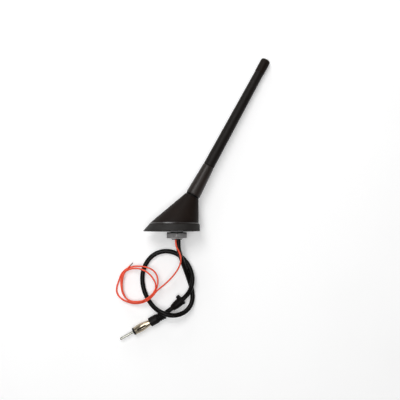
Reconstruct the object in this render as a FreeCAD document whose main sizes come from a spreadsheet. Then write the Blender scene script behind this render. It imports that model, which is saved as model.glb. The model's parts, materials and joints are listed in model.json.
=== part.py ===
"""Roof antenna with a screw-on mast, an amplifier in its base and two leads.

The antenna is drawn upright, as it stands on a roof: x runs along the base, z is up from the roof, and the
origin is on the stud's axis in the plane where the gasket meets the roof. One placement then lays it on its
side, resting on the edge of its gasket and on the tip of its mast, with the leads on the same surface.
"""
import FreeCAD, Part
import Sketcher
import math
import os
import re

V = FreeCAD.Vector
Placement = FreeCAD.Placement
Rotation = FreeCAD.Rotation

# Driving dimensions in millimetres and degrees: alias, value, meaning
SIZES = [
    ("base_length", 62.8, "gasket footprint, along the base"),
    ("base_width", 40.0, "gasket footprint, across"),
    ("base_shift", -6.0, "middle of the footprint from the stud's axis"),
    ("rim_height", 7.2, "gasket, from the roof to the cover's edge"),
    ("rim_length", 56.2, "gasket's top edge, along the base"),
    ("rim_width", 36.4, "gasket's top edge, across"),
    ("rim_shift", -2.9, "middle of the top edge from the stud's axis"),
    ("gasket_floor", 2.0, "gasket under the base plate"),
    ("gasket_wall", 2.7, "gasket's top edge round the base plate"),
    ("lip_width", 5.0, "sealing lip under the gasket"),
    ("lip_height", 0.8, "sealing lip under the gasket"),
    ("plate_thickness", 3.0, "base plate"),
    ("seat_clearance", 0.1, "pieces that are pushed into a seat"),
    ("stud_radius", 7.0, "hollow stud, outside its thread"),
    ("stud_reach", 8.5, "stud below the roof plane"),
    ("stud_bore", 4.6, "radius of the stud's bore"),
    ("stud_chamfer", 0.7, "lead-in at the end of the stud"),
    ("hole_clearance", 0.3, "holes round a screw thread"),
    ("nut_flats", 22.0, "roof nut across its flats"),
    ("nut_height", 5.3, "roof nut"),
    ("nut_chamfer", 0.9, "height of the chamfer at the nut's corners"),
    ("nut_gap", 1.3, "roof sheet's room between gasket and washer"),
    ("washer_radius", 11.0, "lock washer"),
    ("washer_thickness", 1.1, "lock washer"),
    ("notch_width", 1.8, "notches in the lock washer's edge"),
    ("notch_depth", 1.5, "notches in the lock washer's edge"),
    ("thread_clearance", 0.05, "radial play of a screw thread"),
    ("gland_lip_radius", 5.6, "gland's lip on the end of the stud"),
    ("gland_lip", 0.8, "thickness of the gland's lip"),
    ("gland_length", 10.0, "gland inside the stud"),
    ("cover_step", 0.4, "gasket's edge outside the cover"),
    ("band_height", 0.7, "upright band at the cover's foot"),
    ("ledge_width", 0.9, "sloped ledge between the band and the cone"),
    ("ledge_rise", 1.2, "sloped ledge between the band and the cone"),
    ("cover_wall", 2.2, "cover"),
    ("collar_x", 16.8, "middle of the cover's collar"),
    ("collar_height", 38.6, "middle of the cover's collar"),
    ("collar_radius", 7.9, "collar that carries the mast"),
    ("collar_solid", 13.0, "depth of the solid head under the collar"),
    ("cavity_top", 8.4, "radius of the cavity's ceiling"),
    ("post_radius", 3.0, "posts for the cover screws"),
    ("post_front", 8.8, "front screw post from the end of the plate"),
    ("post_rear", 4.0, "rear screw post from the end of the plate"),
    ("screw_radius", 1.4, "cover screws"),
    ("screw_length", 12.0, "cover screws"),
    ("screw_head", 2.5, "radius of the cover screws' heads"),
    ("screw_head_height", 1.5, "cover screws' heads"),
    ("board_length", 28.0, "amplifier board"),
    ("board_width", 17.0, "amplifier board"),
    ("board_thickness", 1.6, "amplifier board"),
    ("board_height", 9.0, "underside of the board above the roof"),
    ("board_inset", 2.9, "board screws from the board's edges"),
    ("board_post", 2.2, "radius of the posts that carry the board"),
    ("board_screw", 1.0, "radius of the board screws"),
    ("board_screw_length", 5.0, "board screws"),
    ("board_head", 2.0, "radius of the board screws' heads"),
    ("board_head_height", 1.4, "board screws' heads"),
    ("can_length", 13.0, "shield can"),
    ("can_width", 12.0, "shield can"),
    ("can_height", 5.0, "shield can"),
    ("can_wall", 0.5, "shield can"),
    ("can_front", -8.5, "shield can's front end"),
    ("mast_lean", 28.4, "mast's lean from upright, in degrees"),
    ("socket_radius", 4.5, "threaded bush in the collar"),
    ("socket_length", 14.0, "threaded bush in the collar"),
    ("socket_flange", 6.0, "radius of the bush's flange"),
    ("socket_flange_height", 1.5, "bush's flange"),
    ("socket_spare", 2.0, "bore of the bush past the mast's stud"),
    ("contact_radius", 0.8, "contact wire under the bush"),
    ("contact_slant", 7.0, "slanted end of the contact wire"),
    ("seal_radius", 7.5, "seal under the mast"),
    ("seal_thickness", 1.9, "seal under the mast"),
    ("mast_thread", 2.5, "radius of the mast's stud"),
    ("mast_thread_reach", 8.0, "mast's stud below the seal"),
    ("mast_neck", 3.0, "mast's stud inside the ferrule, below its head"),
    ("mast_head", 3.4, "radius of the stud's moulded-in head"),
    ("mast_head_length", 9.0, "stud's moulded-in head"),
    ("ferrule_foot", 8.1, "radius of the mast at its foot"),
    ("ferrule_top", 6.35, "radius of the ferrule's upper end"),
    ("ferrule_length", 36.2, "ferrule"),
    ("foot_edge", 0.6, "rounding at the mast's foot"),
    ("sheath_foot", 6.2, "radius of the sheath at the ferrule"),
    ("sheath_top", 5.05, "radius of the sheath at the tip cap"),
    ("sheath_length", 119.6, "sheath"),
    ("moulding_gap", 0.05, "between the moulded pieces of the mast"),
    ("cap_foot", 5.2, "radius of the tip cap at the sheath"),
    ("cap_radius", 5.35, "radius of the tip cap"),
    ("cap_length", 16.8, "tip cap"),
    ("cap_skirt", 1.5, "height of the slope at the cap's foot"),
    ("cap_crown", 2.4, "rounding of the tip cap"),
    ("rod_radius", 2.0, "glass fibre rod"),
    ("rod_in_cap", 9.0, "rod inside the tip cap"),
    ("winding_thickness", 0.6, "wire winding on the rod"),
    ("winding_margin", 5.0, "bare rod at each end of the winding"),
    ("coax_radius", 2.6, "coax lead"),
    ("coax_x", 1.5, "coax beside the stud's axis"),
    ("coax_y", 0.8, "coax across the stud's axis"),
    ("wire_radius", 0.9, "power lead"),
    ("wire_x", -1.2, "power lead beside the stud's axis"),
    ("wire_y", -2.6, "power lead across the stud's axis"),
    ("lead_clearance", 0.1, "bores round the coax lead"),
    ("boot_length", 15.0, "cable boot"),
    ("boot_flange", 5.3, "radius of the boot's flange"),
    ("boot_flange_length", 2.2, "boot's flange"),
    ("boot_body", 4.8, "radius of the boot behind its flange"),
    ("boot_shoulder", 4.5, "radius of the boot where its end tapers"),
    ("boot_taper", 5.0, "tapered end of the boot"),
    ("boot_wall", 0.8, "wall of the boot at its narrow end"),
    ("lug_radius", 2.1, "pull lug on the boot's flange"),
    ("lug_offset", 5.2, "pull lug from the boot's axis"),
    ("lug_length", 4.2, "pull lug along the boot"),
    ("relief_length", 8.8, "plug's strain relief"),
    ("relief_foot", 4.6, "radius of the strain relief at the cap"),
    ("relief_end", 5.1, "radius of the strain relief at its end"),
    ("relief_slack", 0.3, "strain relief's bore round the lead"),
    ("groove_depth", 0.6, "strain relief's grooves"),
    ("groove_width", 1.0, "strain relief's grooves"),
    ("plug_cap", 5.2, "radius of the plug cap"),
    ("plug_cap_length", 9.7, "plug cap"),
    ("plug_cap_edge", 0.9, "rounding of the plug cap"),
    ("lead_in_plug", 6.0, "lead inside the plug cap"),
    ("barrel_tail", 4.0, "barrel inside the plug cap"),
    ("barrel_length", 19.3, "barrel in front of the plug cap"),
    ("barrel_rear", 3.3, "radius of the barrel at the cap"),
    ("barrel_bulge", 4.7, "radius of the barrel at its widest"),
    ("barrel_front", 4.0, "radius of the barrel's mouth"),
    ("barrel_wall", 0.6, "barrel"),
    ("slot_width", 2.2, "barrel's slots"),
    ("slot_start", 5.7, "slots from the plug cap"),
    ("slot_length", 11.0, "barrel's slots"),
    ("core_wall", 1.2, "core round the pin"),
    ("core_ridge", 0.45, "height of the core's ridges"),
    ("core_pitch", 1.8, "spacing of the core's ridges"),
    ("insulator_length", 3.6, "insulator in the barrel's mouth"),
    ("insulator_proud", 2.0, "insulator in front of the barrel"),
    ("insulator_edge", 0.2, "insulator's rim outside the barrel's mouth"),
    ("pin_radius", 1.45, "centre pin of the plug"),
    ("pin_shank", 1.2, "radius of the pin inside the plug"),
    ("pin_reach", 17.2, "pin in front of the insulator"),
    ("pin_in_core", 2.0, "solid end of the core behind the pin"),
    ("pin_tip", 0.9, "rounding of the pin's tip"),
    ("coil_length", 47.9, "coil of the power lead, outside"),
    ("coil_width", 42.8, "coil of the power lead, outside"),
    ("coil_bundle", 6.6, "width of the coil's bundle of turns"),
    ("coil_thickness", 5.6, "height of the coil's bundle of turns"),
    ("coil_tilt", 11.6, "slope of the coil over the coax, in degrees"),
    ("tinned_radius", 0.6, "bare end of the power lead"),
]
CORE_RIDGES = 6
WASHER_NOTCHES = 16
RELIEF_GROOVES = 3

# Leads on the floor: x and y as it lies, and the height of the centreline above the floor
COAX_ROUTE = [
    (3.4, -26.6, 18.6), (6.6, -35.8, 13.8), (10.2, -46.6, 8.2), (13.8, -57.4, 4.4), (16.8, -68.0, 3.0),
    (17.2, -78.4, 4.4), (13.6, -86.8, 7.2), (6.0, -92.6, 10.2), (-4.6, -94.6, 13.2), (-16.0, -91.6, 14.2),
    (-26.2, -86.0, 8.8), (-34.2, -76.2, 3.0), (-38.8, -64.4, 2.7), (-40.0, -51.6, 2.7), (-37.2, -39.8, 2.7),
    (-30.6, -30.0, 2.7), (-21.2, -24.2, 2.7), (-10.2, -22.9, 2.7), (0.6, -26.4, 3.0), (9.6, -34.2, 5.2),
    (15.2, -43.9, 8.4), (17.4, -54.2, 10.0), (15.4, -65.0, 9.4),
]
WIRE_ROUTE = [
    (2.4, -21.6, 24.8), (4.6, -28.8, 23.2), (3.8, -36.6, 19.8), (-0.2, -44.4, 16.6), (-6.2, -52.2, 14.2),
    (-13.6, -59.4, 12.6), (-22.8, -66.5, 12.2),
]
COAX_STRAIGHT = 8.7
WIRE_STRAIGHT = 7.0
BOOT_MOUTH = (5.9, -77.3, 6.2)
BOOT_MARGIN = 5.6
PLUG_HEADING = 209.4
PLUG_BACK = (-22.3, -98.4)
PLUG_BEND = 11.0
COIL_MIDDLE = (-45.7, -61.2)
WIRE_END_START = (-59.0, -45.4, 4.8)
WIRE_END_TIP = (-49.7, -36.1, 5.8)
INSULATED_SHARE = 0.62
RUN_SHARE = 0.45

doc = FreeCAD.newDocument("RoofAntenna")
sheet = doc.addObject("Spreadsheet::Sheet", "Sizes")
for row, (alias, number, meaning) in enumerate(SIZES, start=1):
    sheet.set(f"A{row}", meaning)
    sheet.set(f"B{row}", str(number))
    sheet.setAlias(f"B{row}", alias)
doc.recompute()

sub_parts = []


def bound(text):
    """The expression with each alias as a cell of the sheet."""
    return re.sub(r"\b([a-z_]+)\b(?!\()", r"Sizes.\1", text)


def value(text):
    return float(sheet.evalExpression(bound(text)))


def bind(item, **properties):
    for name, text in properties.items():
        item.setExpression(name, bound(text))


def move(item, x="0", y="0", z="0"):
    for axis, text in (("x", x), ("y", y), ("z", z)):
        item.setExpression(f"Placement.Base.{axis}", bound(text))


def keep(item, label, placement):
    """Name a finished sub-part and put it in its place."""
    item.Label = label
    item.Placement = placement
    sub_parts.append(item)
    return item


# Where things are
mast_axis = V(math.sin(math.radians(value("mast_lean"))), 0, math.cos(math.radians(value("mast_lean"))))
collar_middle = V(value("collar_x"), 0, value("collar_height"))
mast_foot = collar_middle + mast_axis * value("seal_thickness")
tip_edge = mast_foot + mast_axis * value("ferrule_length + sheath_length + cap_length - cap_crown")
tip_drop = value("base_width / 2 - (cap_radius - cap_crown)")
lying_tilt = math.atan2(tip_drop, tip_edge.z) - math.asin(value("cap_crown") / math.hypot(tip_drop, tip_edge.z))
LYING = Placement(V(), Rotation(V(1, 0, 0), -90 - math.degrees(lying_tilt)))
FLOOR = -value("base_width / 2") * math.cos(lying_tilt)
LEAN = Rotation(V(0, 1, 0), value("mast_lean"))
ON_COLLAR = LYING * Placement(collar_middle, LEAN)
ON_MAST = LYING * Placement(mast_foot, LEAN)
POST_FRONT = "rim_shift - rim_length / 2 + gasket_wall + post_front"
POST_REAR = "rim_shift + rim_length / 2 - gasket_wall - post_rear"
PLATE_TOP = "gasket_floor + plate_thickness"
BOARD_TOP = "board_height + board_thickness"


def on_floor(x, y, height):
    return V(x, y, FLOOR + height)


# Sketches and features
def sketch_on(body, role, name, height="0"):
    plane = next(item for item in body.Origin.OriginFeatures if item.Role == role)
    sketch = body.newObject("Sketcher::SketchObject", name)
    sketch.AttachmentSupport = [(plane, "")]
    sketch.MapMode = "FlatFace"
    if height != "0":
        sketch.setExpression("AttachmentOffset.Base.z", bound(height))
    return sketch


def hold(sketch, shape, point, x, y):
    """Fix a point of a sketch at two expressions."""
    for kind, text, axis in (("DistanceX", x, -2), ("DistanceY", y, -1)):
        if text == "0":
            sketch.addConstraint(Sketcher.Constraint("PointOnObject", shape, point, axis))
        else:
            at = sketch.addConstraint(Sketcher.Constraint(kind, -1, 1, shape, point, value(text)))
            sketch.setExpression(f"Constraints[{at}]", bound(text))


def measure(sketch, kind, shape, text):
    at = sketch.addConstraint(Sketcher.Constraint(kind, shape, value(text)))
    sketch.setExpression(f"Constraints[{at}]", bound(text))


def outline(sketch, corners):
    """A closed outline of straight lines through corners given as pairs of expressions."""
    places = [V(value(x), value(y), 0) for x, y in corners]
    first = sketch.GeometryCount
    for start, end in zip(places, places[1:] + places[:1]):
        sketch.addGeometry(Part.LineSegment(start, end))
    for index, (x, y) in enumerate(corners):
        after = first + (index + 1) % len(corners)
        sketch.addConstraint(Sketcher.Constraint("Coincident", first + index, 2, after, 1))
        hold(sketch, first + index, 1, x, y)


def circle(sketch, radius, x="0", y="0"):
    shape = sketch.addGeometry(Part.Circle(V(value(x), value(y), 0), V(0, 0, 1), value(radius)))
    measure(sketch, "Radius", shape, radius)
    hold(sketch, shape, 3, x, y)


def oval(sketch, length, width, x):
    middle = V(value(x), 0, 0)
    end = middle + V(value(length) / 2, 0, 0)
    side = middle + V(0, value(width) / 2, 0)
    shape = sketch.addGeometry(Part.Ellipse(end, side, middle))
    sketch.exposeInternalGeometry(shape)
    hold(sketch, shape, 3, x, "0")
    sketch.addConstraint(Sketcher.Constraint("Horizontal", shape + 1))
    measure(sketch, "Distance", shape + 1, length)
    measure(sketch, "Distance", shape + 2, width)


def feature(body, kind, sketch, length, reverse=False):
    item = body.newObject(f"PartDesign::{kind}", sketch.Name + kind)
    item.Profile = (sketch, [""])
    item.Reversed = reverse
    bind(item, Length=length)
    return item


def spin(body, sketch, kind):
    item = body.newObject(f"PartDesign::{kind}", sketch.Name + kind)
    item.Profile = (sketch, [""])
    item.ReferenceAxis = (sketch, ["V_Axis"])
    item.Angle = 360
    return item


def dress_edge(body, kind, size_name, radius, height, size):
    """Round or chamfer the body's circular edge of that radius at that height."""
    doc.recompute()
    base = body.Tip
    names = []
    for index, edge in enumerate(base.Shape.Edges, start=1):
        if isinstance(edge.Curve, Part.Circle):
            off_radius = abs(edge.Curve.Radius - value(radius))
            off_height = abs(edge.Curve.Center.z - value(height))
            if off_radius + off_height < 1e-4:
                names.append(f"Edge{index}")
    item = body.newObject(f"PartDesign::{kind}", f"{body.Name}{kind}")
    item.Base = (base, names)
    bind(item, **{size_name: size})
    return item


def turned(label, corners, placement):
    """A piece turned about its own z axis from an outline of radii and heights."""
    body = doc.addObject("PartDesign::Body", label)
    sketch = sketch_on(body, "XZ_Plane", label + "_outline")
    outline(sketch, corners)
    spin(body, sketch, "Revolution")
    return keep(body, label, placement)


# Primitives, booleans and lofts
def cylinder(name, radius, height, x="0", y="0", z="0"):
    item = doc.addObject("Part::Cylinder", name)
    bind(item, Radius=radius, Height=height)
    move(item, x, y, z)
    return item


def collar_bore(name, radius, depth):
    """A cylinder along the mast's axis, from that depth under the collar to just above it."""
    item = doc.addObject("Part::Cylinder", name)
    bind(item, Radius=radius, Height=f"{depth} + seal_thickness")
    item.Placement = Placement(collar_middle - mast_axis * value(depth), LEAN)
    return item


def box(name, length, width, height, x, y, z):
    item = doc.addObject("Part::Box", name)
    bind(item, Length=length, Width=width, Height=height)
    move(item, x, y, z)
    return item


def cut(name, base, tool):
    item = doc.addObject("Part::Cut", name)
    item.Base = base
    item.Tool = tool
    return item


def fuse(name, shapes):
    item = doc.addObject("Part::MultiFuse", name)
    item.Shapes = shapes
    return item


def group(name, links):
    item = doc.addObject("Part::Compound", name)
    item.Links = links
    return item


def loft(name, sections):
    item = doc.addObject("Part::Loft", name)
    item.Sections = sections
    item.Solid = True
    return item


def oval_section(name, length, width, x, z):
    item = doc.addObject("Part::Ellipse", name)
    item.MajorRadius = value(f"({length}) / 2")
    item.MinorRadius = value(f"({width}) / 2")
    bind(item, MajorRadius=f"({length}) / 2", MinorRadius=f"({width}) / 2")
    move(item, x, "0", z)
    return item


def ring_section(name, radius, z, x="0"):
    item = doc.addObject("Part::Circle", name)
    bind(item, Radius=radius)
    move(item, x=x, z=z)
    return item


def tube(label, points, radius, placement=Placement()):
    """A round lead along straight runs that are joined by tangent arcs as large as the runs allow."""
    edges = []
    radii = []
    start = points[0]
    for before, corner, after in zip(points, points[1:], points[2:]):
        into = corner - before
        out = after - corner
        reach = RUN_SHARE * min(into.Length, out.Length)
        into.normalize()
        out.normalize()
        half_turn = into.getAngle(out) / 2
        arc_radius = reach / math.tan(half_turn)
        inward = (out - into).normalize()
        begin = corner - into * reach
        middle = corner + inward * (arc_radius / math.cos(half_turn) - arc_radius)
        end = corner + out * reach
        edges.append(Part.LineSegment(start, begin).toShape())
        edges.append(Part.Arc(begin, middle, end).toShape())
        radii.append(arc_radius)
        start = end
    edges.append(Part.LineSegment(start, points[-1]).toShape())
    path = Part.Wire(edges)
    section = Part.Wire(Part.makeCircle(radius, points[0], points[1] - points[0]))
    item = doc.addObject("Part::Feature", label)
    item.Shape = path.makePipeShell([section], True, False)
    share = item.Shape.Volume / (math.pi * radius**2 * path.Length)
    if abs(share - 1) > 0.01:
        raise RuntimeError(f"{label} has {share:.3f} of the volume of its section along its path")
    print(f"{label}: {path.Length:.1f} mm long, bend radii " + " ".join(f"{r:.1f}" for r in radii))
    return keep(item, label, placement)


# Mast, along its own axis from its foot
def make_mast():
    gap = "moulding_gap"
    head_end = "mast_neck + mast_head_length"
    sheath_end = "ferrule_length + sheath_length"
    tip_end = f"{sheath_end} + cap_length"
    rod_end = f"{sheath_end} + rod_in_cap"
    stud_end = "-seal_thickness - mast_thread_reach"
    winding_foot = "ferrule_length + winding_margin"
    winding_end = f"{sheath_end} - winding_margin"
    sheath_bore = f"rod_radius + winding_thickness + 2 * {gap}"
    ferrule = turned("mast_ferrule", [
        (f"mast_thread + {gap}", "0"),
        ("ferrule_foot", "0"),
        ("ferrule_top", "ferrule_length"),
        (f"rod_radius + {gap}", "ferrule_length"),
        (f"rod_radius + {gap}", head_end),
        (f"mast_head + {gap}", head_end),
        (f"mast_head + {gap}", "mast_neck"),
        (f"mast_thread + {gap}", "mast_neck"),
    ], ON_MAST)
    dress_edge(ferrule, "Fillet", "Radius", "ferrule_foot", "0", "foot_edge")
    turned("mast_stud", [
        ("0", stud_end),
        ("mast_thread", stud_end),
        ("mast_thread", "mast_neck"),
        ("mast_head", "mast_neck"),
        ("mast_head", head_end),
        ("0", head_end),
    ], ON_MAST)
    turned("mast_core_rod", [
        ("0", head_end),
        ("rod_radius", head_end),
        ("rod_radius", rod_end),
        ("0", rod_end),
    ], ON_MAST)
    turned("mast_winding", [
        (f"rod_radius + {gap}", winding_foot),
        (f"rod_radius + {gap} + winding_thickness", winding_foot),
        (f"rod_radius + {gap} + winding_thickness", winding_end),
        (f"rod_radius + {gap}", winding_end),
    ], ON_MAST)
    turned("mast_sheath", [
        (sheath_bore, "ferrule_length"),
        ("sheath_foot", "ferrule_length"),
        ("sheath_top", sheath_end),
        (sheath_bore, sheath_end),
    ], ON_MAST)
    tip_cap = turned("mast_tip_cap", [
        (f"rod_radius + {gap}", sheath_end),
        ("cap_foot", sheath_end),
        ("cap_radius", f"{sheath_end} + cap_skirt"),
        ("cap_radius", tip_end),
        ("0", tip_end),
        ("0", rod_end),
        (f"rod_radius + {gap}", rod_end),
    ], ON_MAST)
    dress_edge(tip_cap, "Fillet", "Radius", "cap_radius", tip_end, "cap_crown")
    turned("mast_seal", [
        ("mast_thread + hole_clearance", "-seal_thickness"),
        ("seal_radius", "-seal_thickness"),
        ("seal_radius", "0"),
        ("mast_thread + hole_clearance", "0"),
    ], ON_MAST)


# Threaded bush in the collar, and the wire that joins it to the board
def make_socket():
    bore = "mast_thread + thread_clearance"
    bore_end = "-mast_thread_reach - socket_spare"
    turned("mast_socket", [
        ("0", "-socket_length"),
        ("socket_radius", "-socket_length"),
        ("socket_radius", "-socket_flange_height"),
        ("socket_flange", "-socket_flange_height"),
        ("socket_flange", "0"),
        (bore, "0"),
        (bore, bore_end),
        ("0", bore_end),
    ], ON_COLLAR)
    bush_end = collar_middle - mast_axis * value("socket_length")
    bend = bush_end - mast_axis * value("contact_slant")
    foot = V(bend.x, 0, value(BOARD_TOP))
    tube("socket_contact", [foot, bend, bush_end], value("contact_radius"), LYING)


# Cover: a cone from an oval foot, cut off along the leaning collar, hollow, with two screw posts inside
def make_cover():
    ledge_z = "(rim_height + band_height)"
    foot_z = "(rim_height + band_height + ledge_rise)"
    foot_inset = "(cover_step + ledge_width)"
    crown_z = "(collar_height + collar_radius * sin(mast_lean) + seat_clearance)"
    crown = []
    for side, back in (("-", "+"), ("+", "-")):
        foot_x = f"(rim_shift {side} rim_length / 2 {back} {foot_inset})"
        edge_x = f"(collar_x {side} collar_radius * cos(mast_lean))"
        edge_z = f"(collar_height {back} collar_radius * sin(mast_lean))"
        rise = f"({crown_z} - {foot_z}) / ({edge_z} - {foot_z})"
        crown.append(f"({foot_x} + ({edge_x} - {foot_x}) * {rise})")
    cone = loft("CoverCone", [
        oval_section("ConeFoot", f"rim_length - 2 * {foot_inset}", f"rim_width - 2 * {foot_inset}",
                     "rim_shift", foot_z),
        ring_section("ConeCrown", f"({crown[1]} - {crown[0]}) / 2", crown_z,
                     f"({crown[1]} + {crown[0]}) / 2"),
    ])
    ledge = loft("CoverLedge", [
        oval_section("LedgeFoot", "rim_length - 2 * cover_step", "rim_width - 2 * cover_step",
                     "rim_shift", ledge_z),
        oval_section("LedgeTop", f"rim_length - 2 * {foot_inset}", f"rim_width - 2 * {foot_inset}",
                     "rim_shift", foot_z),
    ])
    off_cut = doc.addObject("Part::Box", "AboveCollar")
    bind(off_cut, Length="base_length", Width="base_length", Height="base_length")
    corner = V(-value("base_length") / 2, -value("base_length") / 2, 0)
    off_cut.Placement = Placement(collar_middle, LEAN) * Placement(corner, Rotation())
    band = doc.addObject("Part::Extrusion", "CoverBand")
    band.Base = oval_section("BandEdge", "rim_length - 2 * cover_step", "rim_width - 2 * cover_step",
                             "rim_shift", "rim_height")
    band.DirMode = "Custom"
    band.Dir = V(0, 0, 1)
    band.Solid = True
    bind(band, LengthFwd="band_height")
    outside = fuse("CoverOutside", [band, ledge, cut("CoverHead", cone, off_cut)])
    inset = f"2 * ({foot_inset} + cover_wall)"
    cavity = loft("CoverCavity", [
        oval_section("CavityFoot", f"rim_length - {inset}", f"rim_width - {inset}", "rim_shift", "rim_height"),
        ring_section("CavityCeiling", "cavity_top", "collar_height - collar_solid * cos(mast_lean)",
                     "collar_x - collar_solid * sin(mast_lean)"),
    ])
    posts = fuse("CoverPosts", [
        cylinder("FrontPost", "post_radius", "collar_height", POST_FRONT, "0", "rim_height"),
        cylinder("RearPost", "post_radius", "collar_height", POST_REAR, "0", "rim_height"),
    ])
    shell = cut("CoverShell", outside, cut("CavityRoundPosts", cavity, posts))
    pilot = "screw_radius + thread_clearance"
    pilot_depth = "gasket_floor + screw_length - rim_height + post_radius / 3"
    bores = fuse("CoverBores", [
        collar_bore("SocketBore", "socket_radius + seat_clearance", "(collar_solid + collar_radius / 2)"),
        collar_bore("FlangeSeat", "socket_flange + seat_clearance", "socket_flange_height"),
        cylinder("FrontPilot", pilot, pilot_depth, POST_FRONT, "0", "rim_height"),
        cylinder("RearPilot", pilot, pilot_depth, POST_REAR, "0", "rim_height"),
    ])
    keep(cut("CoverFinished", shell, bores), "base_cover", LYING)


# Gasket: a rubber skirt that flares to the roof, with a seat for the base plate and a sealing lip
def make_gasket():
    body = doc.addObject("PartDesign::Body", "base_gasket")
    foot = sketch_on(body, "XY_Plane", "GasketFoot")
    oval(foot, "base_length", "base_width", "base_shift")
    rim = sketch_on(body, "XY_Plane", "GasketRim", "rim_height")
    oval(rim, "rim_length", "rim_width", "rim_shift")
    skirt = body.newObject("PartDesign::AdditiveLoft", "GasketSkirt")
    skirt.Profile = (foot, [""])
    skirt.Sections = [(rim, [""])]
    doc.recompute()
    seat = sketch_on(body, "XY_Plane", "PlateSeat", "rim_height")
    oval(seat, "rim_length - 2 * gasket_wall", "rim_width - 2 * gasket_wall", "rim_shift")
    feature(body, "Pocket", seat, "rim_height - gasket_floor")
    hole = sketch_on(body, "XY_Plane", "StudHole", "rim_height")
    circle(hole, "stud_radius + hole_clearance")
    feature(body, "Pocket", hole, "rim_height")
    hollow = sketch_on(body, "XY_Plane", "LipHollow")
    oval(hollow, "base_length - 2 * lip_width", "base_width - 2 * lip_width", "base_shift")
    feature(body, "Pocket", hollow, "lip_height", reverse=True)
    keep(body, "base_gasket", LYING)


# Base plate: a casting with the hollow threaded stud, and posts for the cover and the board
def make_plate():
    body = doc.addObject("PartDesign::Body", "base_plate")
    inset = "2 * (gasket_wall + seat_clearance)"
    plate = sketch_on(body, "XY_Plane", "PlateOutline", "gasket_floor")
    oval(plate, f"rim_length - {inset}", f"rim_width - {inset}", "rim_shift")
    feature(body, "Pad", plate, "plate_thickness")
    stud = sketch_on(body, "XY_Plane", "StudOutline", "gasket_floor")
    circle(stud, "stud_radius")
    feature(body, "Pad", stud, "gasket_floor + stud_reach", reverse=True)
    dress_edge(body, "Chamfer", "Size", "stud_radius", "-stud_reach", "stud_chamfer")
    posts = sketch_on(body, "XY_Plane", "CoverPostOutlines", PLATE_TOP)
    for x in (POST_FRONT, POST_REAR):
        circle(posts, "post_radius", x)
    feature(body, "Pad", posts, f"rim_height - ({PLATE_TOP})")
    board_posts = sketch_on(body, "XY_Plane", "BoardPostOutlines", PLATE_TOP)
    for x, y in board_screw_places():
        circle(board_posts, "board_post", x, y)
    feature(body, "Pad", board_posts, f"board_height - ({PLATE_TOP})")
    bore = sketch_on(body, "XY_Plane", "StudBore", PLATE_TOP)
    circle(bore, "stud_bore")
    feature(body, "Pocket", bore, f"{PLATE_TOP} + stud_reach")
    screw_holes = sketch_on(body, "XY_Plane", "CoverScrewHoles", "rim_height")
    head_seats = sketch_on(body, "XY_Plane", "CoverScrewSeats", "gasket_floor")
    for x in (POST_FRONT, POST_REAR):
        circle(screw_holes, "screw_radius + seat_clearance", x)
        circle(head_seats, "screw_head + seat_clearance", x)
    feature(body, "Pocket", screw_holes, "rim_height - gasket_floor")
    feature(body, "Pocket", head_seats, "screw_head_height + seat_clearance", reverse=True)
    pilots = sketch_on(body, "XY_Plane", "BoardScrewPilots", "board_height")
    for x, y in board_screw_places():
        circle(pilots, "board_screw + thread_clearance", x, y)
    feature(body, "Pocket", pilots, "board_screw_length - board_thickness + board_screw / 2")
    keep(body, "base_plate", LYING)


def board_screw_places():
    """The board's two screws, in opposite corners."""
    x = "board_length / 2 - board_inset"
    y = "board_width / 2 - board_inset"
    return [(f"-({x})", y), (x, f"-({y})")]


def make_screws():
    cover_screws = []
    for end, x in (("Front", POST_FRONT), ("Rear", POST_REAR)):
        cover_screws.append(fuse(f"{end}CoverScrew", [
            cylinder(f"{end}ScrewHead", "screw_head", "screw_head_height", x, "0", "gasket_floor"),
            cylinder(f"{end}ScrewShank", "screw_radius", "screw_length", x, "0", "gasket_floor"),
        ]))
    keep(group("CoverScrews", cover_screws), "cover_screws", LYING)
    board_screws = []
    for end, (x, y) in zip(("Front", "Rear"), board_screw_places()):
        foot = f"{BOARD_TOP} - board_screw_length"
        shank_length = "board_screw_length + board_head_height"
        board_screws.append(fuse(f"{end}BoardScrew", [
            cylinder(f"{end}BoardHead", "board_head", "board_head_height", x, y, BOARD_TOP),
            cylinder(f"{end}BoardShank", "board_screw", shank_length, x, y, foot),
        ]))
    keep(group("BoardScrews", board_screws), "board_screws", LYING)


def make_amplifier():
    blank = box("BoardBlank", "board_length", "board_width", "board_thickness",
                "-board_length / 2", "-board_width / 2", "board_height")
    holes = fuse("BoardHoles", [
        cylinder(f"BoardHole{index}", "board_screw + seat_clearance", "board_thickness", x, y, "board_height")
        for index, (x, y) in enumerate(board_screw_places())
    ])
    keep(cut("BoardFinished", blank, holes), "amplifier_board", LYING)
    outside = box("CanOutside", "can_length", "can_width", "can_height",
                  "can_front", "-can_width / 2", BOARD_TOP)
    inside = box("CanInside", "can_length - 2 * can_wall", "can_width - 2 * can_wall", "can_height - can_wall",
                 "can_front + can_wall", "can_wall - can_width / 2", BOARD_TOP)
    keep(cut("CanFinished", outside, inside), "amplifier_can", LYING)


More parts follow.
